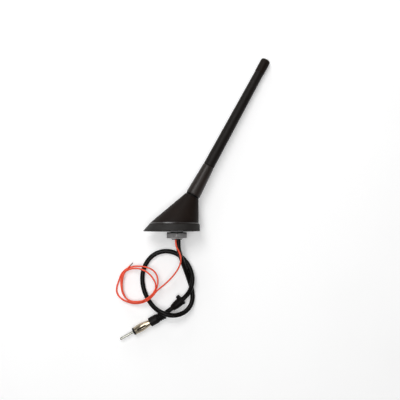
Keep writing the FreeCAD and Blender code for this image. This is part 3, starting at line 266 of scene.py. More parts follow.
FINISHES = {
    # Moulded ABS with a spark-eroded grain: warm black and satin, as the grain traps most of the sheen.
    # The real grain of 0.2 mm is too fine to show, so it is drawn at 0.9 mm
    "cover_plastic": finish("moulded_abs", ("#150f0c", "#1d1511"), sheen=0.09,
                            blotch=14, gloss=(0.46, 0.56), grain=0.9, relief=0.05),
    # Moulded EPDM rubber over the whip: brown-black and dull
    "whip_rubber": finish("moulded_epdm_whip", ("#14110f", "#1b1715"), sheen=0.12,
                          blotch=22, gloss=(0.42, 0.5), grain=1.1, relief=0.05),
    # The same rubber on the ferrule, rubbed smooth by hands that screw the mast in: it shines along its top.
    # Its base is painted lighter than the whip's, a painted highlight
    "rubbed_rubber_painted_highlight": finish("rubbed_epdm_painted_highlight", ("#1b1512", "#241c18"), sheen=0.3,
                             blotch=18, gloss=(0.34, 0.42), grain=1.1, relief=0.04),
    # Matt EPDM of the skirt and the gland, a little greyer where it has bloomed
    "gasket_rubber": finish("matt_epdm", ("#1e1c1b", "#292725"), sheen=0.2,
                            blotch=9, gloss=(0.48, 0.6), grain=1.0, relief=0.06),
    # Zinc plated steel: cool grey, satin, with the crystals of the plating drawn at 1.2 mm
    "zinc_nut": finish("zinc_plated_steel", ("#878687", "#a3a1a0"), metal=0.7,
                       blotch=3.5, gloss=(0.42, 0.56), grain=1.2, relief=0.04),
    # Phosphated spring steel: nearly black, oily
    "dark_washer": finish("phosphated_steel", ("#1f1f20", "#302f2e"), metal=0.6,
                          blotch=4, gloss=(0.42, 0.55), grain=0.8, relief=0.04),
    # Die-cast zinc alloy: dull, cloudy light grey
    "cast_plate": finish("die_cast_zinc", ("#c4c4c5", "#d6d6d5"), metal=0.4,
                         blotch=6, gloss=(0.5, 0.62), grain=1.0, relief=0.06),
    # Turned brass: warm and half bright
    "brass": finish("turned_brass", ("#b08d4c", "#c9a862"), metal=1.0,
                    blotch=5, gloss=(0.24, 0.36), grain=0.6, relief=0.02),
    # Enamelled copper wire: a red-brown lacquer over metal, uneven from the winding
    "copper": finish("enamelled_copper", ("#9c5630", "#b8713f"), metal=0.7,
                     blotch=4, gloss=(0.25, 0.4), grain=0.6, relief=0.1),
    # Pultruded glass fibre: pale, cloudy resin
    "glass_fibre": finish("glass_fibre_rod", ("#cfc8a8", "#e2dcc4"), ior=1.55,
                          blotch=5, gloss=(0.3, 0.42), grain=0.7, relief=0.04),
    # Green solder resist over glass epoxy: glossy, a little mottled by the copper below
    "board_laminate": finish("solder_resist", ("#17492c", "#24623d"), ior=1.55,
                             blotch=3, gloss=(0.25, 0.38), grain=0.8, relief=0.03),
    # Tin plated steel sheet: bright but soft
    "tinplate": finish("tin_plated_sheet", ("#b4b4b2", "#c9c9c6"), metal=1.0,
                       blotch=4, gloss=(0.28, 0.4), grain=0.9, relief=0.03),
    # Zinc plated screws, rolled thread
    "screw_steel": finish("zinc_plated_screws", ("#97989a", "#b3b3b1"), metal=1.0,
                          blotch=2, gloss=(0.3, 0.42), grain=0.6, relief=0.03),
    # Extruded PVC jacket: deep black and glossy, with slight waves from the extruder
    "coax_jacket": finish("extruded_pvc_jacket", ("#090807", "#0f0d0c"), sheen=0.1,
                          blotch=12, gloss=(0.22, 0.3), grain=2.4, relief=0.05),
    # Red PVC insulation: orange-red, satin, paler where it is stretched
    "red_wire": finish("red_pvc_insulation", ("#e2472c", "#f15c3f"), sheen=0.3,
                       blotch=10, gloss=(0.4, 0.52), grain=1.0, relief=0.03),
    # Tinned copper strands, twisted: grey metal
    "tinned_strands": finish("tinned_strands", ("#625d56", "#8e8981"), metal=1.0,
                             blotch=1.5, gloss=(0.35, 0.5), grain=0.4, relief=0.03),
    # Soft black PVC of the boot and the strain relief: dark, with a slight sheen
    "boot_rubber": finish("soft_pvc_moulding", ("#0a0909", "#110f0e"), sheen=0.08,
                          blotch=6, gloss=(0.36, 0.46), grain=1.0, relief=0.05),
    # Moulded phenolic cap of the plug: black, half gloss
    "plug_plastic": finish("moulded_phenolic", ("#0d0b0a", "#151211"), sheen=0.12,
                           blotch=5, gloss=(0.32, 0.42), grain=0.8, relief=0.04),
    # Bright nickel on brass, turned: warm white metal, with rings from the lathe drawn at 0.5 mm
    "nickel": finish("bright_nickel", ("#a69a83", "#bcb09c"), metal=1.0, lathe=ON_PLUG,
                     blotch=8, gloss=(0.18, 0.26), grain=0.5, relief=0.003),
    # The pin's nickel, rubbed bright and less yellow by the radio's socket
    "rubbed_nickel": finish("rubbed_nickel", ("#adaca3", "#bfbfb6"), metal=1.0, lathe=ON_PLUG,
                            blotch=6, gloss=(0.2, 0.28), grain=0.5, relief=0.003),
    # Nickel inside the barrel, painted dark as the shade inside it: mid grey on the crests of its ridges, and
    # nearly black in the grooves between, a deeper painted shade
    "crest_painted_shade": finish("nickel_crests_painted_shade", ("#6b6152", "#857a69"), metal=1.0, lathe=ON_PLUG,
                          blotch=4, gloss=(0.3, 0.42), grain=0.5, relief=0.01),
    "groove_painted_shade": finish("nickel_grooves_painted_shade", ("#1a1613", "#2b2520"), metal=0.5, lathe=ON_PLUG,
                           blotch=4, gloss=(0.45, 0.6), grain=0.5, relief=0.01),
    # The seal under the mast, painted darker than the gasket rubber: painted shade of the groove it forms
    # between the ferrule and the collar
    "seal_painted_shade": finish("epdm_painted_groove_shade", ("#080707", "#0d0c0b"), sheen=0.08,
                           blotch=5, gloss=(0.4, 0.5), grain=0.9, relief=0.04),
    # The bead at the cover's foot, polished where the mould's halves met: it catches the light as a line
    "polished_bead": finish("polished_abs", ("#130f0d", "#1a1512"), sheen=0.6,
                            blotch=10, gloss=(0.18, 0.26), grain=0.9, relief=0.01),
    # Black acetal insert: smooth, half matt
    "insulator_plastic": finish("black_acetal", ("#0b0a0a", "#131211"), sheen=0.15,
                                blotch=3, gloss=(0.42, 0.52), grain=0.7, relief=0.03),
}
cut_thread(FINISHES["screw_steel"], mast_way, MAST_PITCH)
cut_thread(FINISHES["cast_plate"], up, NUT_PITCH)

SLOTS = {part["node"]: part["material_slot"] for part in frame["record"]["subparts"]}
for node_name, node_object in frame["nodes"].items():
    for material_slot in node_object.material_slots:
        material_slot.material = FINISHES[SLOTS[node_name]]
    if not node_object.material_slots:
        node_object.data.materials.append(FINISHES[SLOTS[node_name]])


# Shapes: steps of an arc and the room it takes, steps round each piece, and what is straight or sharp
ARC_STEPS, PAST_ARC, ROOM_SHARED, ROOM_ALONE = 6, 1.2, 0.4, 0.8
AROUND_PIN, AROUND_STRANDS, AROUND, AROUND_BOOT, AROUND_BASE = 48, 84, 96, 144, 180
NEARLY_STRAIGHT, SHARP_EDGE = math.radians(84), math.radians(40)
WELD = 0.002


def rounded(corners, loop=False):
    """The line through corners and their roundings, with a point past each arc to keep the flats flat."""
    line = []
    for index, (corner, reach) in enumerate(corners):
        if not reach or (not loop and index in (0, len(corners) - 1)):
            line.append(corner)
            continue
        neighbours = (corners[index - 1], corners[(index + 1) % len(corners)])
        for other, its_reach in neighbours:
            room = ROOM_SHARED if its_reach else ROOM_ALONE
            reach = min(reach, (other - corner).length * room)
        start, stop = [(other - corner).normalized() for other, its_reach in neighbours]
        half = start.angle(stop) / 2
        line.append(corner + start * reach * PAST_ARC)
        for step in range(ARC_STEPS + 1):
            t = step / ARC_STEPS
            if half > NEARLY_STRAIGHT:
                line.append(corner + start * reach * (1 - t) ** 2 + stop * reach * t ** 2)
                continue
            middle = corner + (start + stop).normalized() * reach / math.cos(half)
            spokes = [(corner + leg * reach - middle).normalized() for leg in (start, stop)]
            line.append(middle + spokes[0].slerp(spokes[1], t) * reach * math.tan(half))
        line.append(corner + stop * reach * PAST_ARC)
    return line


def angles(count):
    return [2 * math.pi * index / count for index in range(count)]


def round_axis(radius, angle, height):
    """The point at that radius and height, in that direction from the z axis."""
    return Vector((radius * math.cos(angle), radius * math.sin(angle), height))


def quad(ring, cell, count):
    """The face at one cell between a ring of points and the next ring."""
    beside = (cell + 1) % count
    here, onward = ring * count, (ring + 1) * count
    return (here + cell, here + beside, onward + beside, onward + cell)


def show(name, data):
    """A new object in the scene."""
    piece = bpy.data.objects.new(name, data)
    bpy.context.collection.objects.link(piece)
    return piece


def show_smooth(name, mesh, place):
    """A mesh in the scene, laid in its place and smooth up to its sharp edges."""
    mesh.transform(place)
    mesh.shade_smooth()
    mesh.set_sharp_from_angle(angle=SHARP_EDGE)
    return show(name, mesh)


def skin(name, rings, place):
    """A smooth mesh over closed rings of points in millimetres."""
    count = len(rings[0])
    points = [point * MM for ring in rings for point in ring]
    faces = [quad(ring, cell, count) for ring in range(len(rings) - 1) for cell in range(count)]
    mesh = bpy.data.meshes.new(name)
    mesh.from_pydata(points, [], faces)
    shape = bmesh.new()
    shape.from_mesh(mesh)
    bmesh.ops.remove_doubles(shape, verts=shape.verts, dist=WELD * MM)
    bmesh.ops.recalc_face_normals(shape, faces=shape.faces)
    shape.to_mesh(mesh)
    shape.free()
    return show_smooth(name, mesh, place)


def swept(name, lines, place):
    """A skin over meridian lines that stand side by side round an axis, each closed on itself."""
    rings = [[line[at] for line in lines] for at in range(len(lines[0]))]
    return skin(name, rings + rings[:1], place)


def meridian(angle, outline):
    """One such line, from corners of radius, height and rounding."""
    corners = [(round_axis(radius, angle, height), reach) for radius, height, reach in outline]
    return rounded(corners, loop=True)


def turned(name, outline, place, around=AROUND):
    """A piece turned about z from corners of radius, height and rounding."""
    solid = outline[0][0] == 0
    line = rounded([(Vector((radius, height)), reach) for radius, height, reach in outline], loop=not solid)
    rings = [[round_axis(point.x, angle, point.y) for angle in angles(around)] for point in line]
    return skin(name, rings if solid else rings + rings[:1], place)


def dress(piece, body, slot, *nodes, coat=None):
    """Gives a piece its body and the slot's finish or its own coat, and hides the nodes it stands for."""
    piece.data.materials.append(FINISHES[coat or slot])
    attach(piece, body)
    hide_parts(*nodes)
    return piece


# Mast
sheath_end = FERRULE_LENGTH + SHEATH_LENGTH
rod_end = sheath_end + ROD_IN_CAP
mast_end = sheath_end + CAP_LENGTH
# The ferrule's coat is lighter than the whip's rubber: a painted highlight
dress(turned("whip_ferrule", [
    (STUD_CLEAR, 0, 0), (FERRULE_FOOT, 0, FERRULE_EDGE), (FERRULE_TOP, FERRULE_LENGTH, MAST_JOINT_EDGE),
    (ROD_CLEAR, FERRULE_LENGTH, 0),
], ON_MAST), "mast", "whip_rubber", "mast_ferrule", coat="rubbed_rubber_painted_highlight")
dress(turned("whip_sheath", [
    (WINDING_CLEAR, FERRULE_LENGTH, 0), (SHEATH_FOOT, FERRULE_LENGTH, MAST_JOINT_EDGE),
    (SHEATH_TOP, sheath_end, SHEATH_EDGE), (WINDING_CLEAR, sheath_end, 0),
], ON_MAST), "mast", "whip_rubber", "mast_sheath")
dress(turned("whip_tip", [
    (0, rod_end, 0), (ROD_CLEAR, rod_end, 0), (ROD_CLEAR, sheath_end, 0),
    (CAP_FOOT, sheath_end, CAP_FOOT_EDGE), (CAP_RADIUS, sheath_end + CAP_SKIRT, CAP_SKIRT_EDGE),
    (CAP_RADIUS, mast_end, CAP_CROWN), (0, mast_end, 0),
], ON_MAST), "mast", "cover_plastic", "mast_tip_cap")
# The seal is painted darker than the gasket rubber it is made of: painted shade of its groove
dress(turned("seal_ring", [
    (SEAL_HOLE, -SEAL_THICKNESS, SEAL_HOLE_EDGE), (SEAL_RADIUS, -SEAL_THICKNESS, SEAL_EDGE),
    (SEAL_RADIUS, 0, SEAL_EDGE), (SEAL_HOLE, 0, SEAL_HOLE_EDGE),
], ON_MAST), "seal", "gasket_rubber", "mast_seal", coat="seal_painted_shade")


# Base
def oval(angle, length, width, shift, height, inset=0.0):
    """The point of an oval about the base's middle line in that direction, drawn in by the inset."""
    half_length, half_width = length / 2 - inset, width / 2 - inset
    return Vector((shift + half_length * math.cos(angle), half_width * math.sin(angle), height))


cone_foot = RIM_HEIGHT + BAND_HEIGHT + LEDGE_RISE
cone_inset = COVER_STEP + LEDGE_WIDTH
crown_height = COLLAR_HEIGHT + COLLAR_RADIUS * math.sin(lean) + CROWN_MARGIN
crown_ends = []
for sign in (-1, 1):
    foot_x = RIM_SHIFT + sign * (RIM_LENGTH / 2 - cone_inset)
    edge_x = COLLAR_X + sign * COLLAR_RADIUS * math.cos(lean)
    edge_height = COLLAR_HEIGHT - sign * COLLAR_RADIUS * math.sin(lean)
    rise = (crown_height - cone_foot) / (edge_height - cone_foot)
    crown_ends.append(foot_x + (edge_x - foot_x) * rise)
collar_middle = Vector((COLLAR_X, 0, COLLAR_HEIGHT))
collar_normal = Vector((math.sin(lean), 0, math.cos(lean)))


def cover_line(angle):
    """The cover's outline in one direction, from its foot up the cone to the seat of the mast's bush."""
    rim = (RIM_LENGTH, RIM_WIDTH, RIM_SHIFT)
    foot = oval(angle, *rim, cone_foot, cone_inset)
    crown_radius = (crown_ends[1] - crown_ends[0]) / 2
    crown = oval(angle, 2 * crown_radius, 2 * crown_radius, sum(crown_ends) / 2, crown_height)
    below = (foot - collar_middle).dot(collar_normal)
    above = (crown - collar_middle).dot(collar_normal)
    edge = foot.lerp(crown, below / (below - above))
    spoke = edge - collar_middle
    seat = collar_middle + spoke.normalized() * FLANGE_SEAT
    return rounded([
        (oval(angle, *rim, RIM_HEIGHT, cone_inset + COVER_WALL), 0),
        (oval(angle, *rim, RIM_HEIGHT, COVER_STEP), COVER_FOOT_EDGE),
        (oval(angle, *rim, RIM_HEIGHT + BAND_HEIGHT, COVER_STEP), BAND_EDGE),
        (foot, LEDGE_EDGE),
        (edge, COLLAR_EDGE),
        (seat, SEAT_EDGE),
        (seat - collar_normal * FLANGE_DEPTH, 0),
        (foot.lerp(collar_middle - collar_normal * HOLLOW_DROP, HOLLOW_SHARE), 0),
    ], loop=True)


def gasket_line(angle):
    """The gasket's outline in one direction: seat, rim, skirt, sealing lip and the hollow under it."""
    rim = (RIM_LENGTH, RIM_WIDTH, RIM_SHIFT)
    foot = (BASE_LENGTH, BASE_WIDTH, BASE_SHIFT)
    return rounded([
        (round_axis(STUD_HOLE, angle, LIP_HEIGHT), STUD_HOLE_EDGE),
        (oval(angle, *foot, LIP_HEIGHT, LIP_WIDTH), LIP_EDGE),
        (oval(angle, *foot, 0, LIP_WIDTH), LIP_EDGE),
        (oval(angle, *foot, 0), SKIRT_EDGE),
        (oval(angle, *rim, RIM_HEIGHT), SKIRT_EDGE),
        (oval(angle, *rim, RIM_HEIGHT, GASKET_WALL), GASKET_HOLLOW_EDGE),
        (oval(angle, *rim, GASKET_FLOOR, GASKET_WALL), GASKET_HOLLOW_EDGE),
        (round_axis(STUD_HOLE, angle, GASKET_FLOOR), STUD_HOLE_EDGE),
    ], loop=True)


cover = swept("cover_shell", [cover_line(angle) for angle in angles(AROUND_BASE)], UPRIGHT)
dress(cover, "base", "cover_plastic", "base_cover")
cover.data.materials.append(FINISHES["polished_bead"])
# The bead is what faces up round the foot of the cone
BEAD_BELOW, BEAD_ABOVE, BEAD_FACING = 0.1, 0.4, 0.3
for face in cover.data.polygons:
    height = face.center.dot(up) / MM
    outward = face.normal.dot(up)
    if RIM_HEIGHT + BAND_HEIGHT - BEAD_BELOW < height < cone_foot + BEAD_ABOVE and outward > BEAD_FACING:
        face.material_index = 1
gasket = swept("gasket_skirt", [gasket_line(angle) for angle in angles(AROUND_BASE)], UPRIGHT)
dress(gasket, "base", "gasket_rubber", "base_gasket")

# Nut: a hexagon with rounded corners, chamfered on both faces, a hair of air from the washer it turns on.
# Its lines spread from the middle of each side, in degrees, and stand closest at the corner
NUT_SIDES, NUT_SPREAD = 6, (0, 8, 15, 21, 25, 27.5, 29, 30, 31, 32.5, 35, 39, 45, 52)
NUT_SHARPNESS, CHAMFER_REACH = 14, 1.05
nut_top = NUT_TOP - NUT_AIR
nut_bottom = NUT_TOP - NUT_HEIGHT
nut_turn = 360 / NUT_SIDES
nut_flat = NUT_FLATS / 2
nut_corner = NUT_FLATS / math.sqrt(3)
nut_face = nut_flat - NUT_FACE_INSET
corner_weight = math.exp(-NUT_SHARPNESS * (nut_corner - NUT_CORNER_CUT))
nut_lines = []
for sector in range(NUT_SIDES):
    for spread in NUT_SPREAD:
        off_flat = math.radians(spread if spread <= nut_turn / 2 else spread - nut_turn)
        side_weight = math.exp(-NUT_SHARPNESS * nut_flat / math.cos(off_flat))
        radius = -math.log(side_weight + corner_weight) / NUT_SHARPNESS
        drop = max(NUT_BREAK, (radius - nut_flat) / (CHAMFER_REACH * nut_corner - nut_flat) * NUT_CHAMFER)
        nut_lines.append(meridian(math.radians(nut_turn * sector + spread), [
            (NUT_BORE, nut_top, NUT_BORE_EDGE), (nut_face, nut_top, NUT_EDGE),
            (radius, nut_top - drop, NUT_EDGE), (radius, nut_bottom + drop, NUT_EDGE),
            (nut_face, nut_bottom, NUT_EDGE), (NUT_BORE, nut_bottom, NUT_BORE_EDGE),
        ]))
dress(swept("hex_nut", nut_lines, UPRIGHT), "nut", "zinc_nut", "roof_nut")


# Boot on the coax, with a pull lug on its flange
def boot_line(angle):
    """The boot's outline in one direction, with the lug where its circle reaches past the flange."""
    reach_across = LUG_RADIUS ** 2 - (LUG_OFFSET * math.sin(angle)) ** 2
    lug = 0.0
    if reach_across > 0 and math.cos(angle) > 0:
        lug = LUG_OFFSET * math.cos(angle) + math.sqrt(reach_across)
    flange = max(BOOT_FLANGE, lug)
    flange_length = LUG_LENGTH if lug > BOOT_FLANGE else BOOT_FLANGE_LENGTH
    return meridian(angle, [
        (BOOT_BORE, 0, BOOT_MOUTH_EDGE), (flange, 0, BOOT_FLANGE_EDGE),
        (flange, flange_length, BOOT_FLANGE_EDGE), (BOOT_BODY, flange_length, BOOT_BODY_EDGE),
        (BOOT_SHOULDER, BOOT_LENGTH - BOOT_TAPER, BOOT_SHOULDER_EDGE),
        (BOOT_END, BOOT_LENGTH, BOOT_END_EDGE), (BOOT_BORE, BOOT_LENGTH, BOOT_TAIL_EDGE),
    ])


boot = dress(swept("coax_boot", [boot_line(angle) for angle in angles(AROUND_BOOT)], ON_BOOT),
             "base", "boot_rubber", "cable_boot")

# Plug
relief_slope = (RELIEF_FOOT - RELIEF_END) / RELIEF_LENGTH
relief_outline = [(RELIEF_BORE, -RELIEF_LENGTH, RELIEF_EDGE), (RELIEF_END, -RELIEF_LENGTH, RELIEF_END_EDGE)]
for groove in range(RELIEF_GROOVES):
    start = -RELIEF_LENGTH * (RELIEF_GROOVES - groove) / (RELIEF_GROOVES + 1)
    stop = start + GROOVE_WIDTH
    for along, depth in ((start, 0), (start, GROOVE_DEPTH), (stop, GROOVE_DEPTH), (stop, 0)):
        radius = RELIEF_END + (along + RELIEF_LENGTH) * relief_slope - depth
        relief_outline.append((radius, along, RELIEF_EDGE))
relief_outline += [(RELIEF_FOOT, 0, RELIEF_EDGE), (RELIEF_BORE, 0, 0)]
relief = dress(turned("plug_sleeve", relief_outline, ON_PLUG), "base", "boot_rubber", "plug_relief")
barrel_rear = GRIP_LENGTH - BARREL_TAIL
barrel_seat = BARREL_REAR + GRIP_PLAY
grip = dress(turned("plug_grip", [
    (GRIP_BORE, 0, GRIP_BORE_EDGE), (GRIP_RADIUS, 0, GRIP_EDGE), (GRIP_RADIUS, GRIP_LENGTH, GRIP_FRONT_EDGE),
    (barrel_seat, GRIP_LENGTH, GRIP_MOUTH_EDGE), (barrel_seat, barrel_rear, 0), (GRIP_BORE, barrel_rear, 0),
], ON_PLUG), "base", "plug_plastic", "plug_cap")
slot_foot = GRIP_LENGTH + SLOT_START
slot_end = slot_foot + SLOT_LENGTH
plug_mouth = GRIP_LENGTH + BARREL_LENGTH
insulator_front = plug_mouth + INSULATOR_PROUD
insulator_rear = insulator_front - INSULATOR_LENGTH


def barrel_radius(along):
    """The barrel swells from its rear to the middle of its slots and draws in again to its mouth."""
    widest = slot_foot + SLOT_LENGTH / 2
    if along <= GRIP_LENGTH:
        return BARREL_REAR
    if along < widest:
        t = (along - GRIP_LENGTH) / (widest - GRIP_LENGTH)
        return BARREL_REAR + (BARREL_BULGE - BARREL_REAR) * t * t * (3 - 2 * t)
    t = (along - widest) / (plug_mouth - widest)
    return BARREL_BULGE + (BARREL_FRONT - BARREL_BULGE) * t * (1 + t) / 2


BARREL_SLOTS, SLOT_CELLS, LAND_CELLS, SLOT_CORNER = 4, 6, 14, 0.5
RING_STEP, REAR_RINGS, SLOT_RINGS, CORNER_STEPS = 0.5, 18, 19, (0, 0.1, 0.25, 0.5)
MOUTH_STEP, MOUTH_RINGS = 0.4, 7


def slot_half_width(along):
    """Half a slot's width, drawn in at the rounded corners of its ends."""
    inside = min(along - slot_foot, slot_end - along)
    if inside >= SLOT_CORNER:
        return SLOT_WIDTH / 2
    short = SLOT_CORNER - max(inside, 0.0)
    return SLOT_WIDTH / 2 - SLOT_CORNER + math.sqrt(SLOT_CORNER ** 2 - short ** 2)


def barrel_stations():
    """The heights of the barrel's rings, closest together at the rounded corners of its slots."""
    rear = [barrel_rear + RING_STEP * step for step in range(REAR_RINGS)]
    first_corners = [slot_foot + step for step in CORNER_STEPS]
    along_slots = [first_corners[-1] + RING_STEP * step for step in range(1, SLOT_RINGS + 1)]
    last_corners = [slot_end - step for step in reversed(CORNER_STEPS)]
    mouth = [plug_mouth - MOUTH_STEP * step for step in reversed(range(MOUTH_RINGS))]
    return rear + first_corners + along_slots + last_corners + mouth


def make_barrel():
    """The spring barrel: four lands between four slots, with walls of sheet thickness."""
    stations = barrel_stations()
    sector = 2 * math.pi / BARREL_SLOTS
    cells = SLOT_CELLS + LAND_CELLS
    points, faces = [], []
    for along in stations:
        radius = barrel_radius(along)
        edge = math.asin(slot_half_width(along) / radius)
        for slot in range(BARREL_SLOTS):
            turns = [edge * (2 * cell / SLOT_CELLS - 1) for cell in range(SLOT_CELLS)]
            turns += [edge + (sector - 2 * edge) * cell / LAND_CELLS for cell in range(LAND_CELLS)]
            points += [round_axis(radius, sector * slot + turn, along) * MM for turn in turns]
    for ring in range(len(stations) - 1):
        in_slot = stations[ring] >= slot_foot and stations[ring + 1] <= slot_end
        for cell in range(BARREL_SLOTS * cells):
            if not in_slot or cell % cells >= SLOT_CELLS:
                faces.append(quad(ring, cell, BARREL_SLOTS * cells))
    mesh = bpy.data.meshes.new("plug_barrel_shell")
    mesh.from_pydata(points, [], faces)
    piece = show_smooth("plug_barrel_shell", mesh, ON_PLUG)
    wall = piece.modifiers.new("sheet", "SOLIDIFY")
    wall.thickness = BARREL_WALL * MM
    wall.offset = -1
    return piece


barrel = dress(make_barrel(), "base", "nickel", "plug_barrel")
core_outline = [(0, LEAD_IN_PLUG, 0), (CORE_RADIUS, LEAD_IN_PLUG, CORE_EDGE)]
for ridge in range(CORE_RIDGES):
    core_outline += [
        (CORE_RADIUS, slot_foot + ridge * CORE_PITCH, CORE_GROOVE_EDGE),
        (CORE_RADIUS + CORE_RIDGE, slot_foot + (ridge + 0.5) * CORE_PITCH, CORE_EDGE),
    ]
core_outline += [
    (CORE_RADIUS, slot_foot + CORE_RIDGES * CORE_PITCH, CORE_GROOVE_EDGE), (CORE_RADIUS, insulator_rear, 0),
    (0, insulator_rear, 0),
]
# Inside the barrel the core is painted dark as shade: nearly black in its grooves, mid grey on the crests
# picked out below
core = dress(turned("plug_ridged_core", core_outline, ON_PLUG),
             "base", "nickel", "plug_core", coat="groove_painted_shade")
core.data.materials.append(FINISHES["crest_painted_shade"])
to_plug = ON_PLUG.inverted()
for face in core.data.polygons:
    if (to_plug @ face.center).to_2d().length / MM > CORE_RADIUS + CORE_RIDGE / 2:
        face.material_index = 1
insert_bore = PIN_SHANK + PIN_PLAY
insert_tail = BARREL_FRONT - BARREL_WALL - INSERT_PLAY
insert = dress(turned("plug_insert", [
    (insert_bore, insulator_rear, 0), (insert_tail, insulator_rear, 0), (insert_tail, plug_mouth, 0),
    (INSULATOR_RADIUS, plug_mouth, INSERT_STEP_EDGE), (INSULATOR_RADIUS, insulator_front, INSERT_FRONT_EDGE),
    (insert_bore, insulator_front, INSERT_BORE_EDGE),
], ON_PLUG), "base", "insulator_plastic", "plug_insulator")
pin_root = LEAD_IN_PLUG + PIN_ROOT
pin_end = insulator_front + PIN_REACH
pin = dress(turned("plug_point", [
    (0, pin_root, 0), (PIN_SHANK, pin_root, PIN_EDGE), (PIN_SHANK, insulator_front, 0),
    (PIN_RADIUS, insulator_front, PIN_EDGE), (PIN_RADIUS, pin_end, PIN_TIP), (0, pin_end, 0),
], ON_PLUG, around=AROUND_PIN), "base", "nickel", "plug_pin", coat="rubbed_nickel")

# Bare end of the power lead: strands twisted together, drawn in to a point over the last steps
STRANDS, STRAND_LAY, STRAND_GROOVE = 7, 9.0, 0.2
STRAND_STEPS, POINT_STEPS = 40, 3
strand_length = (wire_tip - wire_joint).length / MM
twist = 2 * math.pi / STRAND_LAY
strand_rings = [[Vector((0, 0, 0))] * AROUND_STRANDS]
for step in range(STRAND_STEPS + 1):
    along = strand_length * step / STRAND_STEPS
    into_point = max(0, step - STRAND_STEPS + POINT_STEPS) / POINT_STEPS
    ring = []
    for angle in angles(AROUND_STRANDS):
        crest = abs(math.cos(STRANDS / 2 * (angle - twist * along)))
        radius = TINNED_RADIUS * (1 - STRAND_GROOVE + STRAND_GROOVE * crest) * math.sqrt(1 - into_point ** 2)
        ring.append(round_axis(radius, angle, along))
    strand_rings.append(ring)
strand_way = (wire_tip - wire_joint).normalized()
strand_side = strand_way.cross(overhead).normalized()
strands = dress(skin("bare_strands", strand_rings, facing(wire_joint, strand_way, strand_side)),
                "base", "tinned_strands", "tinned_end")


# Leads, each one smooth line
CORD_ROUNDNESS, CORD_STEPS, CORD_ORDER = 7, 12, 3


def lead(name, points, radius):
    """A round cord along a smooth line that the points pull into shape."""
    curve = bpy.data.curves.new(name, "CURVE")
    curve.dimensions = "3D"
    curve.bevel_depth = radius * MM
    curve.bevel_resolution = CORD_ROUNDNESS
    curve.resolution_u = CORD_STEPS
    curve.use_fill_caps = True
    spline = curve.splines.new("NURBS")
    spline.points.add(len(points) - 1)
    for control, point in zip(spline.points, points):
        control.co = (*point, 1)
    spline.order_u = CORD_ORDER
    spline.use_endpoint_u = True
    return show(name, curve)


coax_exit = on_base(COAX_EXIT)
coax = dress(lead("coax_cord", [
    coax_exit, coax_exit - up * COAX_STRAIGHT * MM, *[on_table(*point) for point in COAX_ROUTE],
    boot_mouth - boot_way * BOOT_MARGIN * MM, plug_bend, plug_back + plug_way * LEAD_IN_PLUG * MM,
], COAX_RADIUS), "base", "coax_jacket", "coax_lead")

# The coil's first points sink to its lowest layer, and the rest climb from there to its highest
wire_exit = on_base(WIRE_EXIT)
coil_climb = len(COIL_TURNS) - 1 - COIL_SETTLED
coil_points = []
for index, (x, y) in enumerate(COIL_TURNS):
    if index < COIL_SETTLED:
        layer = -COIL_LAYERS * index / COIL_SETTLED
    else:
        layer = COIL_LAYERS * (2 * (index - COIL_SETTLED) / coil_climb - 1)
    coil_points.append(on_table(x, y, COIL_MIDDLE_HEIGHT + (x - COIL_MIDDLE_X) * COIL_SLOPE + layer))
power = dress(lead("power_cord", [
    wire_exit, wire_exit - up * WIRE_STRAIGHT * MM, *[on_table(*point) for point in WIRE_ROUTE], *coil_points,
    wire_joint,
], WIRE_RADIUS), "base", "red_wire", "power_lead", "power_coil", "power_end")

# Table, in metres
TABLE_HALF = 12.0
WHITE = (1, 1, 1, 1)
corners = ((-1, -1), (1, -1), (1, 1), (-1, 1))
table_mesh = bpy.data.meshes.new("table")
table_mesh.from_pydata([(x * TABLE_HALF, y * TABLE_HALF, cad_low.z) for x, y in corners], [], [(0, 1, 2, 3)])
table = show("table", table_mesh)
# White laminate: the camera and reflections see a little light of its own, so that it reads as white. That
# light grows with the distance, as the lamps reach less far, and leaves the shadow near the object as it is
GLOW_NEAR, GLOW_FAR, GLOW_LOW, GLOW_HIGH = 0.3, 1.6, 0.16, 0.85
laminate = finish("white_laminate", ("#f4f4f4", "#f6f6f6"),
                  blotch=60, gloss=(0.6, 0.7), grain=2.0, relief=0.01)
laminate_tree = laminate.node_tree
ray = add(laminate_tree, "LightPath")
seen = ray.outputs["Is Camera Ray"]
for kind in ("Is Glossy Ray", "Is Transmission Ray"):
    either = add(laminate_tree, "Math")
    either.operation = "MAXIMUM"
    laminate_tree.links.new(seen, either.inputs[0])
    laminate_tree.links.new(ray.outputs[kind], either.inputs[1])
    seen = either.outputs["Value"]
away = add(laminate_tree, "VectorMath")
away.operation = "LENGTH"
laminate_tree.links.new(add(laminate_tree, "TexCoord").outputs["Object"], away.inputs[0])
glow = add(laminate_tree, "MapRange", Value=away.outputs["Value"], From_Min=GLOW_NEAR, From_Max=GLOW_FAR,
           To_Min=GLOW_LOW, To_Max=GLOW_HIGH)
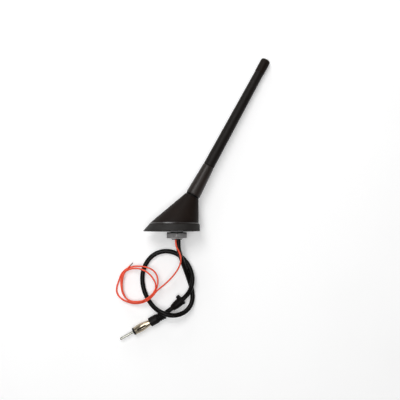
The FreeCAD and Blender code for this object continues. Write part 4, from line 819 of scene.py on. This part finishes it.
lift = add(laminate_tree, "MapRange", Value=seen)
laminate_tree.links.new(glow.outputs["Result"], lift.inputs["To Max"])
laminate_shader = laminate_tree.nodes["Principled BSDF"]
laminate_shader.inputs["Emission Color"].default_value = WHITE
laminate_tree.links.new(lift.outputs["Result"], laminate_shader.inputs["Emission Strength"])
table_mesh.materials.append(laminate)

# World: a dim studio whose walls are white near the floor and darken over a small rise of the view
WALL_FOOT, WALL_TOP, WALL_WHITE, WALL_DIM = 0.02, 0.2, 1.0, 0.22
world = bpy.data.worlds.new("studio")
bpy.context.scene.world = world
world.use_nodes = True
sky = world.node_tree
way = add(sky, "SeparateXYZ", Vector=add(sky, "TexCoord").outputs["Generated"])
walls = add(sky, "MapRange", Value=way.outputs["Z"], From_Min=WALL_FOOT, From_Max=WALL_TOP,
            To_Min=WALL_WHITE, To_Max=WALL_DIM)
background = sky.nodes["Background"]
background.inputs["Color"].default_value = WHITE
sky.links.new(walls.outputs["Result"], background.inputs["Strength"])

# Lamps and camera
VIEW_MIDDLE = Vector((0.0254, 0.0343, 0.0))
LAMPS = [
    # name, place, side in metres, watts
    ("key_softbox", (-0.28, 0.66, 1.1), 0.6, 7.0),
    ("top_softbox", (-0.1, -0.12, 1.4), 0.8, 8.0),
    ("edge_softbox", (-0.3, 1.15, 0.36), 0.4, 3.0),
]
for lamp_name, spot, side, watts in LAMPS:
    lamp = bpy.data.lights.new(lamp_name, "AREA")
    lamp.size = side
    lamp.energy = watts
    softbox = show(lamp_name, lamp)
    softbox.location = spot
    softbox.rotation_euler = (VIEW_MIDDLE - Vector(spot)).to_track_quat("-Z", "Y").to_euler()

CAMERA_HEIGHT, HALF_VIEW = 0.7, 0.22
camera = bpy.data.cameras.new("camera")
camera.angle = 2 * math.atan(HALF_VIEW / CAMERA_HEIGHT)
camera_object = show("camera", camera)
camera_object.location = VIEW_MIDDLE + Vector((0, 0, CAMERA_HEIGHT))
bpy.context.scene.camera = camera_object
bpy.context.scene.view_settings.view_transform = "Standard"
